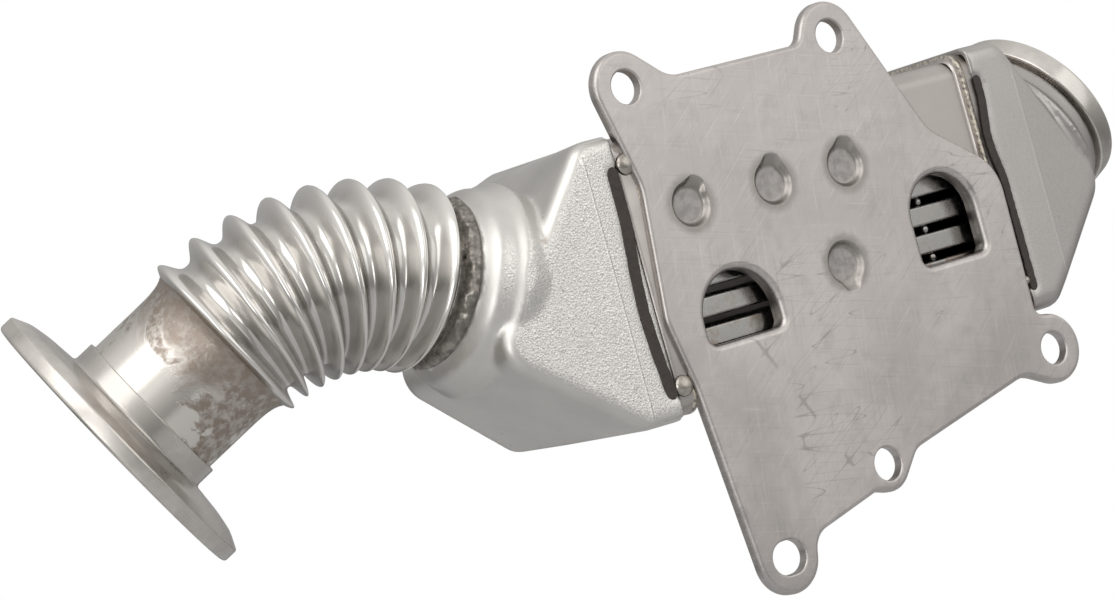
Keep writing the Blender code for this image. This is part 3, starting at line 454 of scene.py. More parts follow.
def capped(rings):
    """Closed body through a row of rings, with a flat face at either end."""
    bm = bmesh.new()
    loop = Loop(bm, rings[0])
    for ring in rings[1:]:
        loop.to(ring)
    bmesh.ops.contextual_create(bm, geom=loop.first)
    bmesh.ops.contextual_create(bm, geom=loop.edges)
    return bm


def axes(origin, z, x):
    """Matrix of a place with its z and x directions."""
    made = Matrix((x, z.cross(x), z)).transposed().to_4x4()
    made.translation = origin
    return made


def boss_matrix():
    z = Vector((-math.cos(BOSS_TILT), 0.0, math.sin(BOSS_TILT)))
    return axes(BOSS_FOOT, z, Vector((math.sin(BOSS_TILT), 0.0, math.cos(BOSS_TILT))))


def ring_matrix():
    z = Vector((math.cos(RING_TILT), 0.0, math.sin(RING_TILT)))
    return axes(RING_NEAR, z, Vector((-math.sin(RING_TILT), 0.0, math.cos(RING_TILT))))


def bent_run():
    """Length of the bent part of the centre line, from the first crest to the last."""
    return sizes().pitch * (CRESTS - 1)


def bend_point(x, y, s):
    """Place a point that lies s along the straight centre line on the bent one."""
    run = bent_run()
    radius = run / BEND
    inward = Vector((math.cos(BEND_TWIST), math.sin(BEND_TWIST), 0.0))
    across = Vector((-inward.y, inward.x, 0.0))
    flat = Vector((x, y, 0.0))
    turn = max(0.0, min(1.0, (s - FIRST_CREST) / run)) * BEND
    along = Vector((0.0, 0.0, math.cos(turn))) + inward * math.sin(turn)
    toward = inward * math.cos(turn) - Vector((0.0, 0.0, math.sin(turn)))
    centre = Vector((0.0, 0.0, min(s, FIRST_CREST) + radius * math.sin(turn)))
    centre += inward * radius * (1 - math.cos(turn))
    after = max(0.0, s - FIRST_CREST - run)
    return centre + along * after + toward * flat.dot(inward) + across * flat.dot(across)


def place(bm, matrix, bent=False):
    """Store each point's angle, height and radius for the materials, then bend and place it."""
    layer = bm.verts.layers.float_vector.new("turn")
    for vert in bm.verts:
        x, y, z = vert.co
        vert[layer] = (math.atan2(y, x), z, math.hypot(x, y))
    if bent:
        for vert in bm.verts:
            vert.co = bend_point(*vert.co)
    bm.transform(matrix)


def mesh_object(name, bm):
    """Object from a bmesh, with its faces turned outwards."""
    bm.normal_update()
    bmesh.ops.recalc_face_normals(bm, faces=bm.faces)
    mesh = bpy.data.meshes.new(name)
    bm.to_mesh(mesh)
    bm.free()
    made = bpy.data.objects.new(name, mesh)
    bpy.context.scene.collection.objects.link(made)
    return made


def piece(name, bm, node, material, sharp):
    """Finished object from a bmesh, in the place of its CAD node."""
    made = mesh_object(name, bm)
    made.data.shade_smooth()
    made.data.set_sharp_from_angle(angle=math.radians(sharp))
    made.data.materials.append(material)
    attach(made, "root")
    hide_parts(node)
    return made


def flat_normals(item):
    """Keep large flat faces evenly shaded beside their rounded edges."""
    step = item.modifiers.new("flat faces", "WEIGHTED_NORMAL")
    step.keep_sharp = True
    step.weight = 100


class Shader:
    """Small builder for a Principled metal and the patterns that feed it."""

    def __init__(self, name, colour, roughness, metallic=1.0):
        self.material = bpy.data.materials.new(name)
        self.material.use_nodes = True
        self.tree = self.material.node_tree
        self.bsdf = self.tree.nodes["Principled BSDF"]
        self.bsdf.inputs["Base Color"].default_value = (*colour, 1.0)
        self.bsdf.inputs["Roughness"].default_value = roughness
        self.bsdf.inputs["Metallic"].default_value = metallic
        self.coords = self.node("ShaderNodeTexCoord").outputs["Object"]
        self.bump_out = None

    def node(self, kind, **values):
        made = self.tree.nodes.new(kind)
        for key, value in values.items():
            setattr(made, key, value)
        return made

    def link(self, source, target):
        if isinstance(source, bpy.types.NodeSocket):
            self.tree.links.new(source, target)
        else:
            target.default_value = source

    def math(self, operation, a, b=0.0, c=0.0):
        made = self.node("ShaderNodeMath", operation=operation)
        for value, socket in zip((a, b, c), made.inputs):
            self.link(value, socket)
        return made.outputs[0]

    def times(self, a, b):
        """Product of two values."""
        return self.math("MULTIPLY", a, b)

    def ramp(self, value, low, high, to_low=0.0, to_high=1.0):
        made = self.node("ShaderNodeMapRange", clamp=True, interpolation_type="SMOOTHSTEP")
        self.link(value, made.inputs["Value"])
        made.inputs["From Min"].default_value = low
        made.inputs["From Max"].default_value = high
        made.inputs["To Min"].default_value = to_low
        made.inputs["To Max"].default_value = to_high
        return made.outputs["Result"]

    def scaled(self, stretch, source=None):
        made = self.node("ShaderNodeVectorMath", operation="MULTIPLY")
        self.link(source or self.coords, made.inputs[0])
        made.inputs[1].default_value = stretch
        return made.outputs[0]

    def aslant(self, degrees, stretch):
        """Coordinates turned about y and then stretched, for marks that run aslant."""
        made = self.node("ShaderNodeVectorRotate", rotation_type="Y_AXIS")
        self.link(self.coords, made.inputs["Vector"])
        made.inputs["Angle"].default_value = math.radians(degrees)
        return self.scaled(stretch, made.outputs[0])

    def away(self, point):
        """Distance from a point of the object."""
        made = self.node("ShaderNodeVectorMath", operation="DISTANCE")
        self.link(self.coords, made.inputs[0])
        made.inputs[1].default_value = point
        return made.outputs["Value"]

    def near_value(self, value, middle, half, soft):
        """One where a value is within half of its middle, and falling off past it."""
        gap = self.math("ABSOLUTE", self.math("SUBTRACT", value, middle))
        return self.ramp(gap, half, half + soft, 1.0, 0.0)

    def turned(self, stretch):
        """The piece's stored angle, height and radius, stretched."""
        made = self.node("ShaderNodeAttribute", attribute_name="turn")
        return self.scaled(stretch, made.outputs["Vector"])

    def part(self, vector, axis):
        made = self.node("ShaderNodeSeparateXYZ")
        self.link(vector, made.inputs[0])
        return made.outputs[axis]

    def noise(self, scale, detail=3.0, rough=0.5, vector=None, distortion=0.0):
        made = self.node("ShaderNodeTexNoise")
        self.link(vector or self.coords, made.inputs["Vector"])
        made.inputs["Scale"].default_value = scale
        made.inputs["Detail"].default_value = detail
        made.inputs["Roughness"].default_value = rough
        made.inputs["Distortion"].default_value = distortion
        return made.outputs["Fac"]

    def cells(self, scale):
        made = self.node("ShaderNodeTexVoronoi", feature="F1")
        self.link(self.coords, made.inputs["Vector"])
        made.inputs["Scale"].default_value = scale
        return made.outputs["Distance"]

    def facing(self, direction):
        """How far the surface's own side faces a direction of the object."""
        normal = self.node("ShaderNodeNewGeometry").outputs["Normal"]
        made = self.node("ShaderNodeVectorMath", operation="DOT_PRODUCT")
        self.link(normal, made.inputs[0])
        made.inputs[1].default_value = direction
        return made.outputs["Value"]

    def mix(self, factor, a, b):
        made = self.node("ShaderNodeMix", data_type="RGBA")
        self.link(factor, made.inputs["Factor"])
        for key, value in (("A", a), ("B", b)):
            socket = next(s for s in made.inputs if s.name == key and s.type == "RGBA")
            self.link((*value, 1.0) if isinstance(value, tuple) else value, socket)
        return next(s for s in made.outputs if s.type == "RGBA")

    def bump(self, height, distance, strength=1.0):
        made = self.node("ShaderNodeBump")
        self.link(height, made.inputs["Height"])
        made.inputs["Distance"].default_value = distance
        made.inputs["Strength"].default_value = strength
        if self.bump_out:
            self.link(self.bump_out, made.inputs["Normal"])
        self.bump_out = made.outputs["Normal"]
        self.link(self.bump_out, self.bsdf.inputs["Normal"])

    def colour(self, value):
        self.link(value, self.bsdf.inputs["Base Color"])

    def roughness(self, value):
        self.link(value, self.bsdf.inputs["Roughness"])


def shade(colour, factor):
    return tuple(channel * factor for channel in colour)


def plate_steel():
    """Brushed plate: cloudy smudges, fine scratches in patches, painted shade on the pocket floors, and
    dark halos round the pockets that are a brown tint with painted shade.
    """
    base = tuple(finish().plate)
    s = Shader("plate_steel", base, 0.36)
    smudge = s.noise(28.0, 4.0, 0.6)
    cloud = s.noise(120.0, 4.0, 0.6)
    colour = s.mix(s.ramp(smudge, 0.33, 0.68), shade(base, 0.84), shade(base, 1.10))
    colour = s.mix(s.ramp(cloud, 0.48, 0.74, 0.0, 0.38), colour, shade(base, 0.68))
    brushed = [s.noise(1.0, 3.0, 0.65, vector=s.aslant(angle, (55.0, 300.0, 1500.0)))
               for angle in BRUSH_ANGLES]
    for streak in brushed:
        colour = s.mix(s.ramp(streak, 0.56, 0.74, 0.0, 0.34), colour, shade(base, 1.35))
        colour = s.mix(s.ramp(streak, 0.26, 0.44, 0.30, 0.0), colour, shade(base, 0.55))
    patches = s.ramp(s.noise(30.0, 1.0), 0.52, 0.60, 0.0, 0.45)
    for angle in HAIR_ANGLES:
        line = s.noise(1.0, 0.0, vector=s.aslant(angle, (24.0, 60.0, 300.0)))
        hair = s.near_value(line, 0.5, 0.0, 0.010)
        colour = s.mix(s.times(hair, patches), colour, shade(base, 0.40))
    reach = pocket_reach(s)
    # painted shade: the pocket floors are darkened, mottled
    floor = s.ramp(reach, 0.0052, 0.0066, 1.0, 0.0)
    mottle = s.ramp(s.noise(420.0, 4.0, 0.65), 0.35, 0.68, 0.50, 0.95)
    colour = s.mix(s.times(floor, mottle), colour, shade(base, 0.50))
    # brown tint with painted shade on the pocket walls and in a halo round their rims
    wall = s.times(s.ramp(reach, 0.0050, 0.0062), s.ramp(reach, 0.0070, 0.0096, 1.0, 0.0))
    colour = s.mix(s.times(wall, 0.62), colour, shade(tuple(finish().weld), 0.9))
    rough = s.ramp(smudge, 0.30, 0.72, 0.31, 0.44)
    s.roughness(s.math("ADD", rough, s.ramp(brushed[0], 0.50, 0.80, 0.0, 0.10)))
    s.colour(colour)
    for streak in brushed:
        s.bump(streak, 0.00003, 0.22)
    s.bump(s.noise(60.0, 2.0), 0.00016, 0.30)
    return s.material


def pocket_reach(s):
    """Distance to the middle of the nearest pressed pocket, made ragged."""
    nearest = None
    for x, z, _ in POCKETS:
        away = s.away((x, 0.0, z))
        nearest = away if nearest is None else s.math("MINIMUM", nearest, away)
    return s.math("MULTIPLY_ADD", s.noise(300.0, 3.0), 0.0016, nearest)


def hood_steel(name, colour, crease, grain, stains):
    """Blasted sheet: grain on the front wall with painted glints in it, the front wall painted lighter
    than the ends as painted light, a fine raised fold with a painted highlight along it, and smooth
    ends.
    """
    base = tuple(colour)
    s = Shader(name, base, 0.40)
    fine = s.noise(2200.0, 2.0, 0.7)
    coarse = s.cells(1800.0)
    cloud = s.noise(45.0, 4.0, 0.6)
    front_side = s.ramp(s.facing((0.0, -1.0, 0.0)), 0.86, 0.98)
    fold = s.near_value(s.part(s.coords, "X"), crease, 0.0001, 0.0006)
    fold = s.times(fold, front_side)
    colour = s.mix(s.ramp(cloud, 0.3, 0.7), shade(base, 0.92), shade(base, 1.04))
    # painted light: the wall that faces the front is painted lighter than the ends
    colour = s.mix(front_side, colour, shade(base, 1.14))
    # grain on the front wall: the bright specks are painted glints, the dark specks are grain tone
    for low, high, tint in ((0.53, 0.66, 1.50), (0.46, 0.34, 0.74)):
        spark = s.times(s.ramp(fine, low, high), front_side)
        colour = s.mix(s.times(spark, 0.9 * grain), colour, shade(base, tint))
    # painted highlight along the fold, as if light catches the crease; the fold's bump further down is
    # real relief
    colour = s.mix(s.times(fold, 0.6 * grain), colour, shade(base, 1.5))
    spots = s.ramp(s.cells(85.0), 0.02, 0.045, 0.40, 0.0)
    colour = s.mix(spots, colour, shade(base, 0.45))
    for point, radius in stains:
        mark = s.ramp(s.away(point), radius * 0.5, radius * 1.3, 0.55, 0.0)
        colour = s.mix(mark, colour, shade(tuple(finish().stain), 1.8))
    s.colour(colour)
    s.roughness(s.math("MULTIPLY_ADD", front_side, 0.03, s.ramp(cloud, 0.3, 0.7, 0.34, 0.42)))
    relief = s.math("MULTIPLY_ADD", front_side, 0.85, 0.08)
    s.bump(s.times(s.math("ADD", coarse, fine), relief), 0.00014 * grain, 0.6)
    s.bump(fold, 0.00022 * grain, 0.8)
    s.bump(s.noise(140.0, 3.0), 0.00008, 0.30)
    return s.material


def sheet_steel():
    """Rolled sheet with faint lengthwise streaks."""
    base = tuple(finish().shell)
    s = Shader("shell_sheet", base, 0.36)
    cloud = s.noise(40.0, 4.0, 0.6)
    streak = s.noise(1.0, 3.0, 0.6, vector=s.scaled((60.0, 900.0, 900.0)))
    colour = s.mix(s.ramp(cloud, 0.3, 0.7), shade(base, 0.90), shade(base, 1.08))
    s.colour(s.mix(s.ramp(streak, 0.55, 0.8, 0.0, 0.15), colour, shade(base, 1.3)))
    s.roughness(s.ramp(cloud, 0.3, 0.7, 0.32, 0.44))
    s.bump(streak, 0.00003, 0.22)
    return s.material


def lip_steel():
    """Header sheet whose rough solder bead at the lip has a brassy shine."""
    base = tuple(finish().shell)
    s = Shader("header_sheet", base, 0.34)
    grain = s.noise(900.0, 3.0, 0.6)
    lip = HEADER_FACE - HEADER_LIP
    across = s.math("ABSOLUTE", s.part(s.coords, "X"))
    bead = s.near_value(across, lip + LIP_BEAD / 2, LIP_BEAD * 0.4, 0.0004)
    colour = s.mix(s.ramp(s.noise(60.0, 3.0), 0.35, 0.7), shade(base, 0.85), shade(base, 1.15))
    brass = s.mix(s.ramp(grain, 0.35, 0.65), shade(base, 0.55), (0.74, 0.68, 0.57))
    s.colour(s.mix(bead, colour, brass))
    s.bump(s.times(grain, s.math("MULTIPLY_ADD", bead, 0.9, 0.1)), 0.00018, 0.7)
    return s.material


def polished_steel():
    """Formed bellows: bright crests, painted shade in the valleys and fine rings round the wall."""
    base = tuple(finish().bellows)
    stain = tuple(finish().stain)
    s = Shader("polished_bellows", base, 0.20)
    radius = s.part(s.turned((1.0, 1.0, 1.0)), "Z")
    crest = sizes().crest_radius
    deep = s.ramp(radius, crest - sizes().valley_depth, crest - 0.0008, 1.0, 0.0)
    blotch = s.noise(75.0, 4.0, 0.6)
    rings = s.noise(1.0, 2.0, 0.6, vector=s.turned((2.0, 3800.0, 3800.0)))
    # painted shade: the valleys are darkened by an amount that varies in blotches
    amount = s.times(deep, s.ramp(blotch, 0.35, 0.70, 0.25, 0.55))
    colour = s.mix(amount, base, VALLEY_SHADE)
    s.colour(s.mix(s.ramp(blotch, 0.68, 0.82, 0.0, 0.15), colour, shade(stain, 1.8)))
    s.roughness(s.ramp(blotch, 0.3, 0.7, 0.14, 0.24))
    s.bump(rings, 0.00002, 0.22)
    s.bump(s.noise(300.0, 2.0), 0.00006, 0.20)
    return s.material


def turned_steel(name, factor, rough):
    """Lathe-turned steel with rings round its axis and light handling marks."""
    base = shade(tuple(finish().turned), factor)
    s = Shader(name, base, rough)
    rings = s.noise(1.0, 2.0, 0.7, vector=s.turned((1.2, 2600.0, 2600.0)))
    blotch = s.noise(60.0, 4.0, 0.6)
    colour = s.mix(s.ramp(blotch, 0.35, 0.7), shade(base, 0.80), shade(base, 1.10))
    s.colour(s.mix(s.ramp(rings, 0.5, 0.8, 0.0, 0.22), colour, shade(base, 0.6)))
    s.roughness(s.ramp(blotch, 0.3, 0.7, rough - 0.04, rough + 0.09))
    s.bump(rings, 0.00002, 0.35)
    s.bump(s.noise(420.0, 3.0), 0.00004, 0.25)
    return s.material


def stained_steel():
    """Neck pipe: brown scale that spreads from the bellows, with burnt patches further on."""
    base = tuple(finish().turned)
    stain = tuple(finish().stain)
    s = Shader("stained_neck", base, 0.24)
    height = s.part(s.turned((1.0, 1.0, 1.0)), "Y")
    wide = s.noise(48.0, 5.0, 0.62, distortion=0.6)
    fine = s.noise(420.0, 4.0, 0.65)
    start = FIRST_CREST + bent_run() + 0.0030
    rise = s.math("MULTIPLY_ADD", s.math("SUBTRACT", wide, 0.5), 0.050, height)
    scale = s.ramp(rise, start + 0.003, start + 0.012, 1.0, 0.0)
    patch = s.times(s.ramp(wide, 0.49, 0.53), s.ramp(fine, 0.35, 0.60, 0.50, 1.0))
    amount = s.times(s.math("MAXIMUM", scale, patch), s.ramp(fine, 0.30, 0.60, 0.70, 1.0))
    brown = s.mix(fine, shade(stain, 0.7), shade(stain, 1.7))
    s.colour(s.mix(s.times(amount, 0.85), base, brown))
    s.roughness(s.math("MULTIPLY_ADD", amount, 0.26, 0.20))
    s.bump(s.noise(1.0, 2.0, 0.6, vector=s.turned((1.2, 2200.0, 2200.0))), 0.00002, 0.25)
    s.bump(s.times(fine, amount), 0.00018, 0.6)
    return s.material


def weld_metal():
    """Rough weld bead, grey with brown scale in its hollows."""
    base = tuple(finish().weld)
    s = Shader("weld_metal", base, 0.38, 0.9)
    lump = s.noise(480.0, 3.0, 0.60)
    s.colour(s.mix(s.ramp(lump, 0.35, 0.7), shade(base, 0.62), shade(base, 1.20)))
    s.roughness(s.ramp(lump, 0.3, 0.7, 0.42, 0.26))
    s.bump(lump, 0.00016, 0.6)
    return s.material


def tack_metal():
    """Smooth blob of weld, with painted shade round its edge where it meets the sheet."""
    base = tuple(finish().weld)
    s = Shader("tack_metal", base, 0.25)
    # painted shade on the sides of the blob, which face away from the front
    painted_edge_shade = s.ramp(s.facing((0.0, -1.0, 0.0)), 0.25, 0.62, 1.0, 0.0)
    colour = s.mix(s.ramp(s.noise(500.0, 3.0), 0.35, 0.7), shade(base, 1.25), shade(base, 1.70))
    s.colour(s.mix(s.times(painted_edge_shade, 0.8), colour, shade(base, 0.32)))
    s.bump(s.noise(600.0, 3.0), 0.00008, 0.4)
    return s.material


def braze_metal():
    """Dark, dull filler metal with a grainy skin."""
    base = tuple(finish().braze)
    s = Shader("braze_metal", base, 0.55, 0.2)
    lump = s.noise(600.0, 3.0, 0.6)
    s.colour(s.mix(lump, shade(base, 0.55), shade(base, 1.6)))
    s.bump(lump, 0.0003, 0.6)
    return s.material


def tube_steel():
    """Tube sheet with pressed ribs on its edges, painted highlights on the ribs, and brown stain low
    down.
    """
    base = tuple(finish().tube)
    s = Shader("tube_steel", base, 0.24)
    cloud = s.noise(160.0, 4.0, 0.65)
    colour = s.mix(s.ramp(cloud, 0.40, 0.68), shade(base, 0.85), shade(base, 1.15))
    low = s.ramp(s.part(s.coords, "Z"), -0.016, -0.006, 0.75, 0.15)
    stained = s.times(s.ramp(cloud, 0.48, 0.62), low)
    colour = s.mix(stained, colour, shade(tuple(finish().stain), 1.3))
    along = s.math("FRACT", s.times(s.part(s.coords, "X"), 1.0 / RIB_PITCH))
    rib = s.near_value(along, 0.5, 0.03, 0.10)
    edge = s.ramp(s.facing((0.0, -1.0, 0.0)), 0.55, 0.98, 1.0, 0.0)
    # painted highlight: the ribs on the tubes' edges are painted lighter
    s.colour(s.mix(s.times(rib, s.times(edge, 0.6)), colour, shade(base, 1.6)))
    s.roughness(s.ramp(cloud, 0.3, 0.7, 0.18, 0.36))
    s.bump(s.times(rib, edge), 0.00010, 0.4)
    s.bump(s.noise(500.0, 3.0), 0.00006, 0.4)
    return s.material


class OBJECT_OT_cooler_plate(bpy.types.Operator):
    """Stamped mounting plate with its ports, bolt holes and pressed pockets"""
    bl_idname = "object.cooler_plate"
    bl_label = "Mounting plate"

    def execute(self, context):
        size = sizes()
        bm = bmesh.new()
        circles = plate_circles()
        r = size.plate_round
        rim = Loop(bm, front(belt(circles), PLATE))
        for angle in QUARTER:
            rim.to(front(belt(circles, -r * (1 - math.cos(angle))), r * (1 - math.sin(angle))))
        faces_front, faces_back = list(rim.edges), list(rim.first)
        for port in PORTS:
            self.opening(bm, port_circles(*port), size.port_flare, PORT_FLARE_DEPTH,
                         faces_front, faces_back)
        radius = size.hole_diameter / 2
        for x, z in BOLT_HOLES:
            half = SLOT_STRETCH / 2 if (x, z) == LUG_LOWER_LEFT else 0.0
            hole = [((x - half, z), radius), ((x + half, z), radius)] if half else [((x, z), radius)]
            self.opening(bm, hole, BOLT_HOLE_EDGE, BOLT_HOLE_EDGE, faces_front, faces_back)
        for x, z, degrees in POCKETS:
            self.pocket(bm, x, z, math.radians(degrees), faces_front)
        fill(bm, faces_front)
        fill(bm, faces_back)
        flat_normals(piece("plate", bm, "mounting_plate", plate_steel(), 40.0))
        return {"FINISHED"}

    def outline(self, circles, grow):
        """Outline of a round hole, of a slot or of a port."""
        if len(circles) == 1:
            (centre, radius), = circles
            return arc(centre, radius + grow, 0.0, TAU, math.radians(7.5))[:-1]
        if len(circles) == 2:
            (left, radius), (right, _) = circles
            step = math.radians(7.5)
            points = arc(right, radius + grow, -math.pi / 2, math.pi / 2, step)
            return points + arc(left, radius + grow, math.pi / 2, math.pi * 1.5, step)
        return belt(circles, grow)

    def opening(self, bm, circles, flare, depth, faces_front, faces_back):
        """Hole with a rounded flare at the front face."""
        loop = Loop(bm, front(self.outline(circles, 0.0), PLATE))
        faces_back += loop.first
        for angle in QUARTER:
            grow, y = flare * (1 - math.cos(angle)), depth * (1 - math.sin(angle))
            loop.to(front(self.outline(circles, grow), y))
        faces_front += loop.edges

    def pocket(self, bm, x, z, nick, faces_front):
        """Pressed pocket: rounded rim with a nick, steep wall and flat floor."""
        def ring(radius, tip, y):
            points = []
            for i in range(72):
                angle = TAU * i / 72
                off = (angle - nick + math.pi) % TAU - math.pi
                reach = radius + tip * math.exp(-(off / NICK_WIDTH) ** 4)
                points.append((x + reach * math.cos(angle), y, z + reach * math.sin(angle)))
            return points

        loop = Loop(bm, ring(POCKET, POCKET_NICK, 0.0))
        faces_front += loop.first
        for inset, share, depth in POCKET_WALL:
            loop.to(ring(POCKET - inset, POCKET_NICK * share, POCKET_DEPTH * depth))
        floor = bmesh.ops.extrude_edge_only(bm, edges=loop.edges)["geom"]
        verts = [g for g in floor if isinstance(g, bmesh.types.BMVert)]
        bmesh.ops.pointmerge(bm, verts=verts, merge_co=(x, POCKET_DEPTH * 1.02, z))


def hood_solid(side, begin, corners, crease, lean, wall):
    """Closed form of a hood's outside, or of its inside where wall is given.

    Between begin and the crease the back corners lean in, and past it both walls slope.
    """
    open_end = begin - 4 * HOOD_ROUND
    outline = [(open_end, corners[0][1], corners[0][2])]
    outline += [(HEADER_FACE + out, z, radius) for out, z, radius in corners]
    outline.append((open_end, corners[-1][1], corners[-1][2]))
    circles = corner_circles(outline)
    r = HOOD_ROUND - wall
    rings = []
    for y, sign in ((HOOD_FRONT + wall, 1), (HOOD_BACK - wall, -1)):
        for angle in QUARTER[::sign]:
            points = belt(circles, -wall - r * (1 - math.sin(angle)), math.radians(9.0))
            rings.append(front(points, y + sign * r * (1 - math.cos(angle))))
    bm = capped(rings)
    start = begin - (0.004 if wall else 0.0)
    for place_x, clear in ((start, True), (crease, False)):
        bmesh.ops.bisect_plane(bm, geom=bm.verts[:] + bm.edges[:] + bm.faces[:], dist=1e-6,
                               plane_co=(place_x, 0, 0), plane_no=(1, 0, 0), clear_inner=clear)
        if clear:
            bmesh.ops.contextual_create(bm, geom=[e for e in bm.edges if e.is_boundary])
    for vert in bm.verts:
        depth = (vert.co.y - HOOD_FRONT) / (HOOD_BACK - HOOD_FRONT)
        reach = max(0.0, min(1.0, (vert.co.x - begin) / (crease - begin))) * depth
        if vert.co.z > 0:
            vert.co.z -= lean[0] * reach
        elif vert.co.z < -HEADER_HALF_HEIGHT * 0.6:
            vert.co.z += lean[1] * reach
            vert.co.x += lean[2] * reach
        beyond = max(0.0, vert.co.x - crease)
        vert.co.y -= beyond * HOOD_SLOPE * (vert.co.y - CORE_MIDDLE) / (HOOD_BACK - CORE_MIDDLE)
    bm.transform(Matrix.Scale(side, 4, (1, 0, 0)))
    return bm


def joined(body, tools, soften=False):
    """Mesh of a body after its unions and cuts; drawn sheet is softened too."""
    for tool, operation in tools:
        step = body.modifiers.new(tool.name, "BOOLEAN")
        step.operation = operation
        step.object = tool
    if soften:
        net = body.modifiers.new("sheet", "REMESH")
        net.mode = "VOXEL"
        net.voxel_size = sizes().hood_grain
        soft = body.modifiers.new("soft", "SMOOTH")
        soft.factor = 0.5
        soft.iterations = 5
    bpy.context.view_layer.update()
    mesh = bpy.data.meshes.new_from_object(body.evaluated_get(bpy.context.evaluated_depsgraph_get()))
    bm = bmesh.new()
    bm.from_mesh(mesh)
    bpy.data.meshes.remove(mesh)
    for tool, _ in tools:
        bpy.data.objects.remove(tool)
    bpy.data.objects.remove(body)
    return bm


def pressed(shape, collar, bore, seam, matrix, extra=()):
    """Hood as one pressed shell: joined, hollowed, bored to a radius and softened like sheet."""
    side = seam[0]
    top, root = collar[0][1] + BORE_PAST, collar[-1][1] - BORE_PAST
    drill = [(0.0, top), (bore, top), (bore, root), (0.0, root)]
    body = mesh_object("hood body", hood_solid(side, *shape, 0.0))
    tools = [(mesh_object("collar", lathe(collar, matrix)), "UNION"), *extra,
             (mesh_object("inside", hood_solid(side, *shape, HOOD_WALL)), "DIFFERENCE"),
             (mesh_object("bore", lathe(drill, matrix)), "DIFFERENCE"),
             (mesh_object("groove", seam_body(seam, 0.0, HEADER_FRONT, -0.002, True)), "DIFFERENCE")]
    bm = joined(body, tools, True)
    for vert in bm.verts:
        # the softening may not swell the sheet past its own box
        vert.co.y = max(HOOD_FRONT, min(HOOD_BACK, vert.co.y))
    return bm


def lathe(profile, matrix):
    """Closed turned solid; the profile starts and ends on the axis."""
    bm = bmesh.new()
    verts = [bm.verts.new((r, 0.0, z)) for r, z in profile]
    edges = [bm.edges.new(pair) for pair in zip(verts, verts[1:])]
    bmesh.ops.spin(bm, geom=verts + edges, cent=(0, 0, 0), axis=(0, 0, 1), angle=TAU,
                   steps=sizes().round_steps, use_merge=True)
    bmesh.ops.remove_doubles(bm, verts=bm.verts, dist=1e-7)
    bm.transform(matrix)
    return bm


class OBJECT_OT_cooler_hoods(bpy.types.Operator):
    """Pressed inlet and outlet hoods with their collars"""
    bl_idname = "object.cooler_hoods"
    bl_label = "Gas hoods"

    def execute(self, context):
        root, top = BOSS_ROOT, BOSS_RADIUS - 0.0012
        collar = [(0.0, BOSS_HEIGHT), (top - 0.0007, BOSS_HEIGHT), (top, BOSS_HEIGHT - 0.0007),
                  *((BOSS_RADIUS + out, height) for out, height in BOSS_FLARE),
                  (BOSS_RADIUS + 0.0040, -root), (0.0, -root)]
        pip = bmesh.new()
        bmesh.ops.create_uvsphere(pip, u_segments=24, v_segments=16, radius=BOSS_PIP_RADIUS)
        pip.transform(Matrix.Translation(BOSS_PIP))
        bm = pressed(INLET_SHAPE, collar, CUFF + GAP, INLET_SEAM, boss_matrix(),
                     [(mesh_object("pip", pip), "UNION")])
        metal = hood_steel("blasted_inlet", finish().hood, -INLET_CREASE, 1.0, INLET_STAINS)
        piece("inlet_hood_sheet", bm, "inlet_hood", metal, 180.0)
        end, root = RING_LENGTH - 0.0013, NECK_FOOT_BACK * 2
        collar = [(0.0, end), (NECK, end), (NECK, -0.0002), (NECK + 0.0019, -0.0010),
                  (NECK + 0.0024, -NECK_FOOT_BACK * 0.55), (NECK_FOOT, -NECK_FOOT_BACK),
                  (NECK_FOOT + 0.0024, -NECK_FOOT_BACK - 0.0022), (NECK_FOOT, -root), (0.0, -root)]
        bm = pressed(OUTLET_SHAPE, collar, NECK_BORE, OUTLET_SEAM, ring_matrix())
        metal = hood_steel("matt_outlet", finish().outlet, OUTLET_CREASE, 0.25, OUTLET_STAINS)
        piece("outlet_hood_sheet", bm, "outlet_hood", metal, 180.0)
        return {"FINISHED"}


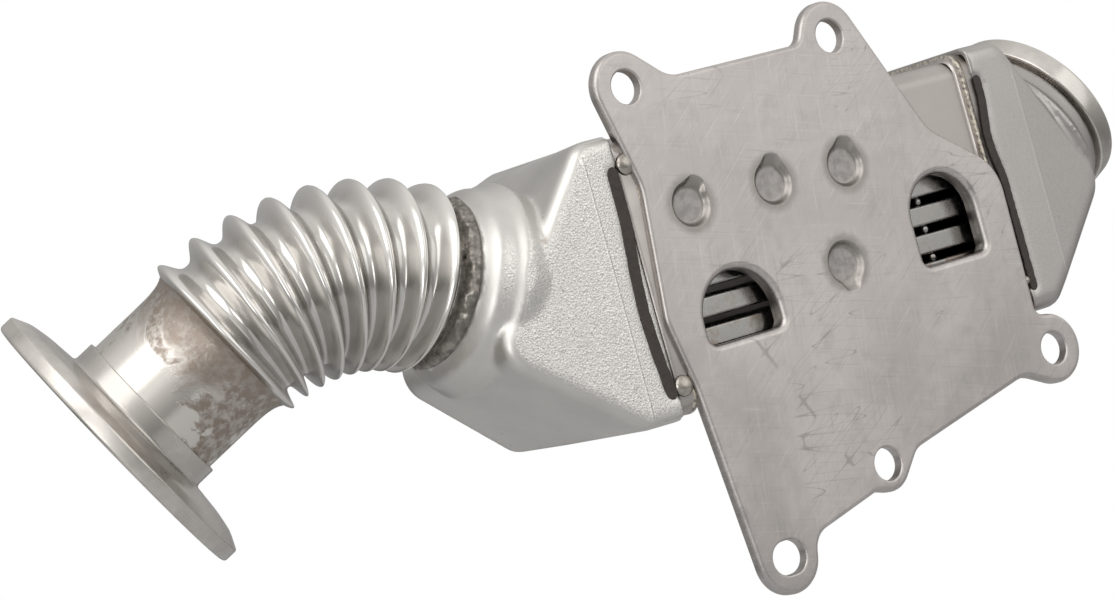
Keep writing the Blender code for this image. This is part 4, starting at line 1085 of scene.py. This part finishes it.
class OBJECT_OT_cooler_bellows(bpy.types.Operator):
    """Bent bellows with its cuffs and the weld bead on the boss"""
    bl_idname = "object.cooler_bellows"
    bl_label = "Bellows"

    def execute(self, context):
        size = sizes()
        start = FIRST_CREST - size.pitch / 2
        end = start + size.pitch * CRESTS
        bore = CUFF - CUFF_WALL
        outer = [(CUFF, end + CUFF_LENGTH), (CUFF, end + CUFF_STEP)]
        inner = [(bore, start - CUFF_LENGTH), (bore, start - CUFF_STEP)]
        for i in range(CRESTS * CREST_STEPS + 1):
            level = (1 + math.cos(TAU * (i / CREST_STEPS - 0.5))) / 2
            radius = size.crest_radius - size.valley_depth * (1 - level ** CREST_POWER)
            inner.append((radius - BELLOWS_WALL, start + size.pitch * i / CREST_STEPS))
            outer.append((radius, end - size.pitch * i / CREST_STEPS))
        outer += [(CUFF, start - CUFF_STEP), (CUFF, start - CUFF_LENGTH)]
        inner += [(bore, end + CUFF_STEP), (bore, end + CUFF_LENGTH)]
        bm = spun(outer + inner, size.round_steps)
        place(bm, boss_matrix(), bent=True)
        piece("bellows_wall", bm, "bellows", polished_steel(), 70.0)

        foot, reach = BOSS_HEIGHT - 0.0012, BOSS_RADIUS + 0.0002
        waist = foot + 0.0006
        bead = [(CUFF, foot), (reach - 0.0008, foot)]
        bead += [(reach - WELD_RISE * (1 - math.cos(a)), waist + WELD_HEIGHT * math.sin(a))
                 for a in (math.radians(step) for step in range(0, 91, 15))]
        bead.append((CUFF, waist + WELD_HEIGHT))
        bm = spun(bead, size.round_steps * 2)
        for vert in bm.verts:
            # only the outside is lumpy; the inside stays round on the cuff
            lift = sum(noise.noise(vert.co * fine) * height for fine, height in WELD_LUMPS)
            if math.hypot(vert.co.x, vert.co.y) > CUFF + 0.0002:
                vert.co += Vector((vert.co.x, vert.co.y, 0.0)).normalized() * lift
                vert.co.z += lift * 0.7
        place(bm, boss_matrix())
        piece("bellows_bead", bm, "bellows_weld", weld_metal(), 80.0)
        return {"FINISHED"}


class OBJECT_OT_cooler_flange(bpy.types.Operator):
    """Neck pipe and turned inlet flange"""
    bl_idname = "object.cooler_flange"
    bl_label = "Neck and flange"

    def execute(self, context):
        size = sizes()
        last = FIRST_CREST + bent_run()
        start = last + size.pitch * NECK_START
        face = last + FLANGE_REACH
        end = face - PIPE_BACK
        profile = []
        for wall, order in ((0.0, range(PIPE_ROWS, -1, -1)), (PIPE_WALL, range(PIPE_ROWS + 1))):
            for i in order:
                along = (end - start) * i / PIPE_ROWS
                flare = NECK_FLARE * math.exp(-along / NECK_FLARE_RUN)
                profile.append((PIPE + flare - wall, start + along))
        bm = spun(profile, size.round_steps)
        place(bm, boss_matrix(), bent=True)
        piece("neck_tube", bm, "neck_pipe", stained_steel(), 40.0)
        seat = PIPE + GAP
        hub = seat + HUB_WALL
        back = face - FLANGE_THICKNESS
        rim = size.flange_radius
        profile = [
            (FLANGE_BORE, face, 0.0004), (rim, face, 0.0011), (rim, face - 0.0040, 0.0005),
            (rim - 0.0044, face - 0.0061, 0.0012), (rim - 0.0092, back + 0.0008, 0.0010),
            (hub, back, 0.0011), (hub, back - HUB_LENGTH, 0.0004), (seat, back - HUB_LENGTH, 0.0002),
            (seat, end + GAP, 0.0), (FLANGE_BORE, end + GAP, 0.0),
        ]
        bm = spun(rounded(profile), size.round_steps)
        place(bm, boss_matrix(), bent=True)
        metal = turned_steel("turned_flange", 0.95, 0.27)
        piece("flange", bm, "inlet_flange", metal, 50.0)
        return {"FINISHED"}


class OBJECT_OT_cooler_ring(bpy.types.Operator):
    """Machined ring at the outlet"""
    bl_idname = "object.cooler_ring"
    bl_label = "Outlet ring"

    def execute(self, context):
        inner, deep = NECK + GAP, RING_LENGTH - 0.0010
        profile = [
            (NECK_BORE, RING_LENGTH, 0.0003), (RING_RADIUS, RING_LENGTH, 0.0009),
            (RING_RADIUS, 0.0, 0.0006), (inner, 0.0, 0.0003), (inner, deep, 0.0),
            (NECK_BORE, deep, 0.0),
        ]
        bm = spun(rounded(profile), sizes().round_steps)
        place(bm, ring_matrix())
        metal = turned_steel("turned_ring", 1.0, 0.2)
        piece("outlet_collar", bm, "outlet_ring", metal, 50.0)
        return {"FINISHED"}


def seam_body(seam, clearance, back, y_front, open_side=False):
    """Braze seam between hood and header, with its bulge round the plate.

    A groove has an open side: it runs from the seam's far edge past the hood's rim.
    """
    side, start, full, height, middle, half = seam
    bottom, top = SEAM_BOTTOM + clearance, SEAM_TOP - clearance
    near, far = [], []
    for i in range(SEAM_STEPS + 1):
        z = bottom + (top - bottom) * i / SEAM_STEPS
        share = min(1.0, abs(z - middle) / half)
        x = start + height * 0.5 * (1.0 + math.cos(math.pi * share)) + full / 2
        end = min(1.0, min(z - bottom, top - z) / (full / 2))
        width = full / 2 * math.sqrt(1.0 - (1.0 - end) ** 2 * 0.9) - clearance
        ragged = noise.noise((z * 420.0, side * 3.0, 0.0)) * SEAM_RAG if clearance else 0.0
        rim = start - full if open_side else x - width + max(0.0, ragged)
        near.append((side * rim, z))
        far.append((side * (x + width - abs(ragged)), z))
    outline = far + near[::-1] if side > 0 else near[::-1] + far
    return capped([front(outline, back), front(outline, y_front)])


class OBJECT_OT_cooler_seams(bpy.types.Operator):
    """Dark braze seams and the tack welds at their ends"""
    bl_idname = "object.cooler_seams"
    bl_label = "Seams and tacks"

    def execute(self, context):
        braze, weld = braze_metal(), tack_metal()
        for name, seam in (("inlet_braze_seam", INLET_SEAM), ("outlet_braze_seam", OUTLET_SEAM)):
            bm = seam_body(seam, 0.0001, HEADER_FRONT - 0.0001, HOOD_FRONT + 0.0002)
            made = piece(name + "_fill", bm, name, braze, 60.0)
            soft = made.modifiers.new("soft", "BEVEL")
            soft.width = 0.00015
            soft.segments = 2
        for name, x, z, radius in TACKS:
            bm = bmesh.new()
            bmesh.ops.create_uvsphere(bm, u_segments=48, v_segments=32, radius=radius)
            dome = (HEADER_FRONT - 0.00002) / radius
            for vert in bm.verts:
                lump = noise.noise(vert.co * 500.0) * TACK_LUMP
                vert.co += vert.co.normalized() * lump
                vert.co.y *= dome * 0.92 if vert.co.y < 0 else TACK_BACK
            bm.transform(Matrix.Translation((x, HEADER_FRONT, z)))
            piece(name + "_bead", bm, name, weld, 80.0)
        return {"FINISHED"}


def box_outline(half_width, half_height, back_radius, front_radius, step=math.radians(10.0)):
    """Rounded box whose back and front corners differ."""
    points = []
    for side, up, degrees in ((1, 1, 0), (-1, 1, 90), (-1, -1, 180), (1, -1, 270)):
        radius = back_radius if side > 0 else front_radius
        centre = (side * (half_width - radius), up * (half_height - radius))
        start = math.radians(degrees)
        points += arc(centre, radius, start, start + math.pi / 2, step)
    return points


class OBJECT_OT_cooler_core(bpy.types.Operator):
    """Shell, headers and gas tubes of the core"""
    bl_idname = "object.cooler_core"
    bl_label = "Core"

    def execute(self, context):
        metal = tube_steel()
        self.tubes(metal)
        self.shell(sheet_steel())
        lip = lip_steel()
        for name, side in (("inlet_header", -1), ("outlet_header", 1)):
            self.header(name, side, lip)
        for i in range(TUBES):
            self.dress(f"tube_fin_{i + 1}", metal)
        return {"FINISHED"}

    def dress(self, node, material):
        """New finish for a CAD solid that keeps its shape."""
        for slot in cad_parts[node].material_slots:
            slot.material = material

    def tube_height(self, i):
        return (i - (TUBES - 1) / 2) * TUBE_PITCH

    def tube_outline(self, grow):
        """Outline of a flat tube seen from its end."""
        half = TUBE_THICKNESS / 2 + grow
        return box_outline(TUBE_WIDTH / 2 + grow, half, half * 0.26, half * 0.26, math.radians(12.0))

    def tubes(self, metal):
        """Flat tubes; the small dots that hold them apart show in the right port."""
        outer, inner = self.tube_outline(0.0), self.tube_outline(-TUBE_WALL)
        for i in range(TUBES):
            bm = bmesh.new()
            loop = Loop(bm, end_on(outer, -TUBE_HALF_LENGTH))
            loop.to(end_on(outer, TUBE_HALF_LENGTH))
            loop.to(end_on(inner, TUBE_HALF_LENGTH))
            loop.to(end_on(inner, -TUBE_HALF_LENGTH))
            bmesh.ops.bridge_loops(bm, edges=loop.first + loop.edges)
            if i in SPACED_TUBES:
                x, y, radius = SPACER
                dot = bmesh.ops.create_uvsphere(bm, u_segments=20, v_segments=14, radius=radius)
                bmesh.ops.translate(bm, verts=dot["verts"], vec=(x, y, TUBE_PITCH / 2))
            bm.transform(Matrix.Translation((0.0, 0.0, self.tube_height(i))))
            node = f"gas_tube_{i + 1}"
            flat_normals(piece(node + "_sheet", bm, node, metal, 50.0))

    def shell(self, metal):
        """Cover with the port openings and the tray that meets it in one fine line."""
        front_y, back_y = SHELL_FRONT - CORE_MIDDLE, SHELL_BACK - CORE_MIDDLE
        cover = self.folded(front_y, 1, front_y + SHELL_EDGE)
        ports = []
        for port in PORTS:
            outline = belt(port_circles(*port), 0.0002)
            hole = capped([front(outline, 0.0), front(outline, SHELL_FRONT + 2 * SHELL_WALL)])
            ports.append((mesh_object("port", hole), "DIFFERENCE"))
        bm = joined(mesh_object("cover", cover), ports)
        piece("shell_cover_sheet", bm, "shell_cover", metal, 40.0)
        tray = self.folded(back_y, -1, front_y + SHELL_EDGE + 0.0002)
        piece("shell_tray_sheet", tray, "shell_tray", metal, 40.0)

    def folded(self, face, inward, edge):
        """Sheet folded to a U: a face with two flanges that end at an edge."""
        outline = []
        for wall in (0.0, SHELL_WALL):
            high, radius = SHELL_HALF_HEIGHT - wall, SHELL_CORNER - wall
            middle = face + inward * SHELL_CORNER
            points = [(edge, high)]
            for up in (1, -1):
                level = up * (SHELL_HALF_HEIGHT - SHELL_CORNER)
                turn = [math.radians(a) for a in range(0, 91, 9)][::up]
                points += [(middle - inward * radius * math.sin(a), level + up * radius * math.cos(a))
                           for a in turn]
            points.append((edge, -high))
            outline += points if wall == 0.0 else points[::-1]
        return capped([end_on(outline, -SHELL_HALF_LENGTH), end_on(outline, SHELL_HALF_LENGTH)])

    def header(self, name, side, metal):
        """End sheet with a rounded fold, tube slots and a lip that is soldered to the shell."""
        half_depth = (HEADER_BACK - HEADER_FRONT) / 2

        def ring(grow, x):
            corners = (HEADER_CORNER + grow, HEADER_CORNER + grow - 0.0010)
            return end_on(box_outline(half_depth + grow, HEADER_HALF_HEIGHT + grow, *corners), side * x)

        bm = bmesh.new()
        lip, floor = HEADER_FACE - HEADER_LIP, HEADER_FACE - HEADER_WALL
        outer = Loop(bm, ring(-SHELL_STEP, lip - LIP_BEAD / 2))
        for along, sink in LIP_INSIDE:
            outer.to(ring(-SHELL_STEP * sink, lip + LIP_BEAD * along))
        for along, swell in LIP_OUTSIDE:
            outer.to(ring(LIP_SWELL * swell, lip + LIP_BEAD * along))
        for angle in QUARTER:
            inset, back = LIP_ROUND * (1 - math.cos(angle)), LIP_ROUND * (1 - math.sin(angle))
            outer.to(ring(-inset, HEADER_FACE - back))
        inner = Loop(bm, ring(-LIP_WALL, lip - LIP_BEAD / 2)).to(ring(-LIP_WALL, floor))
        bmesh.ops.bridge_loops(bm, edges=outer.first + inner.first)
        outside, inside = list(outer.edges), list(inner.edges)
        slot = self.tube_outline(GAP)
        for i in range(TUBES):
            raised = [(y, z + self.tube_height(i)) for y, z in slot]
            wall = Loop(bm, end_on(raised, side * floor)).to(end_on(raised, side * HEADER_FACE))
            inside += wall.first
            outside += wall.edges
        fill(bm, outside)
        fill(bm, inside)
        piece(name + "_sheet", bm, name, metal, 40.0)


class OBJECT_OT_cooler_stage(bpy.types.Operator):
    """Camera at the photograph's angle, soft lights and a pale floor"""
    bl_idname = "object.cooler_stage"
    bl_label = "Stage"

    def execute(self, context):
        scene = context.scene
        data = bpy.data.cameras.new("camera")
        data.sensor_width = SENSOR
        data.lens = FOCAL_PIXELS / IMAGE_WIDTH * SENSOR
        data.clip_start = 0.01
        camera = bpy.data.objects.new("camera", data)
        camera.matrix_world = Matrix((CAMERA_RIGHT, CAMERA_UP, CAMERA_BACK)).transposed().to_4x4()
        camera.matrix_world.translation = CAMERA_PLACE
        scene.collection.objects.link(camera)
        scene.camera = camera
        for lamp in LAMPS:
            self.lamp(*lamp)
        self.world(scene)
        self.floor(scene)
        scene.view_settings.view_transform = "Standard"
        return {"FINISHED"}

    def lamp(self, name, where, width, power):
        data = bpy.data.lights.new(name, "AREA")
        data.energy = power
        data.size = width
        item = bpy.data.objects.new(name, data)
        item.location = where
        aim = LAMP_AIM - item.location
        item.rotation_euler = aim.to_track_quat("-Z", "Y").to_euler()
        bpy.context.scene.collection.objects.link(item)

    def world(self, scene):
        """White for the camera; glossy surfaces see a soft studio with a darker front side."""
        world = bpy.data.worlds.new("studio")
        world.use_nodes = True
        tree = world.node_tree
        tree.nodes.clear()
        out = tree.nodes.new("ShaderNodeOutputWorld")
        rays = tree.nodes.new("ShaderNodeLightPath")
        where = tree.nodes.new("ShaderNodeTexCoord")
        split = tree.nodes.new("ShaderNodeSeparateXYZ")
        tree.links.new(where.outputs["Generated"], split.inputs[0])
        level = tree.nodes.new("ShaderNodeMath")
        level.operation = "MULTIPLY"
        for (axis, *limits), factor in zip(SKY, level.inputs):
            part = tree.nodes.new("ShaderNodeMapRange")
            part.interpolation_type = "SMOOTHSTEP"
            for name, value in zip(("From Min", "From Max", "To Min", "To Max"), limits):
                part.inputs[name].default_value = value
            tree.links.new(split.outputs[axis], part.inputs["Value"])
            tree.links.new(part.outputs["Result"], factor)

        def background(colour, strength):
            made = tree.nodes.new("ShaderNodeBackground")
            made.inputs["Color"].default_value = colour
            made.inputs["Strength"].default_value = strength
            return made

        def choose(ray, other, chosen):
            made = tree.nodes.new("ShaderNodeMixShader")
            tree.links.new(rays.outputs[ray], made.inputs["Fac"])
            tree.links.new(other.outputs[0], made.inputs[1])
            tree.links.new(chosen.outputs[0], made.inputs[2])
            return made

        glossy = background(WARM_WHITE, 1.0)
        tree.links.new(level.outputs[0], glossy.inputs["Strength"])
        seen = choose("Is Glossy Ray", background(WHITE, SOFT_LIGHT), glossy)
        shown = choose("Is Camera Ray", seen, background(WHITE, 1.0))
        tree.links.new(shown.outputs[0], out.inputs["Surface"])
        scene.world = world

    def floor(self, scene):
        bm = bmesh.new()
        bmesh.ops.create_grid(bm, x_segments=1, y_segments=1, size=FLOOR_HALF)
        bm.transform(Matrix.Translation(FLOOR_PLACE))
        mesh = bpy.data.meshes.new("floor")
        bm.to_mesh(mesh)
        bm.free()
        item = bpy.data.objects.new("floor", mesh)
        pale = bpy.data.materials.new("pale_floor")
        pale.use_nodes = True
        shader = pale.node_tree.nodes["Principled BSDF"]
        shader.inputs["Base Color"].default_value = (0.86, 0.86, 0.86, 1.0)
        shader.inputs["Roughness"].default_value = 0.9
        mesh.materials.append(pale)
        scene.collection.objects.link(item)


class VIEW3D_PT_cooler(bpy.types.Panel):
    bl_label = "EGR cooler"
    bl_idname = "VIEW3D_PT_cooler"
    bl_space_type = "VIEW_3D"
    bl_region_type = "UI"
    bl_category = "EGR cooler"

    def draw(self, context):
        layout = self.layout
        for group in (context.scene.cooler_sizes, context.scene.cooler_finish):
            column = layout.column(align=True)
            for name in group.__annotations__:
                column.prop(group, name)
        for operator in OPERATORS:
            layout.operator(operator.bl_idname)


OPERATORS = (
    OBJECT_OT_cooler_stage,
    OBJECT_OT_cooler_plate,
    OBJECT_OT_cooler_hoods,
    OBJECT_OT_cooler_bellows,
    OBJECT_OT_cooler_flange,
    OBJECT_OT_cooler_ring,
    OBJECT_OT_cooler_seams,
    OBJECT_OT_cooler_core,
)
CLASSES = (CoolerSizes, CoolerFinish, *OPERATORS, VIEW3D_PT_cooler)


def register():
    for item in CLASSES:
        bpy.utils.register_class(item)
    bpy.types.Scene.cooler_sizes = PointerProperty(type=CoolerSizes)
    bpy.types.Scene.cooler_finish = PointerProperty(type=CoolerFinish)


def unregister():
    del bpy.types.Scene.cooler_finish
    del bpy.types.Scene.cooler_sizes
    for item in reversed(CLASSES):
        bpy.utils.unregister_class(item)


def main():
    register()
    bpy.ops.object.cooler_stage()
    bpy.ops.object.cooler_plate()
    bpy.ops.object.cooler_hoods()
    bpy.ops.object.cooler_bellows()
    bpy.ops.object.cooler_flange()
    bpy.ops.object.cooler_ring()
    bpy.ops.object.cooler_seams()
    bpy.ops.object.cooler_core()


if __name__ == "__main__":
    main()
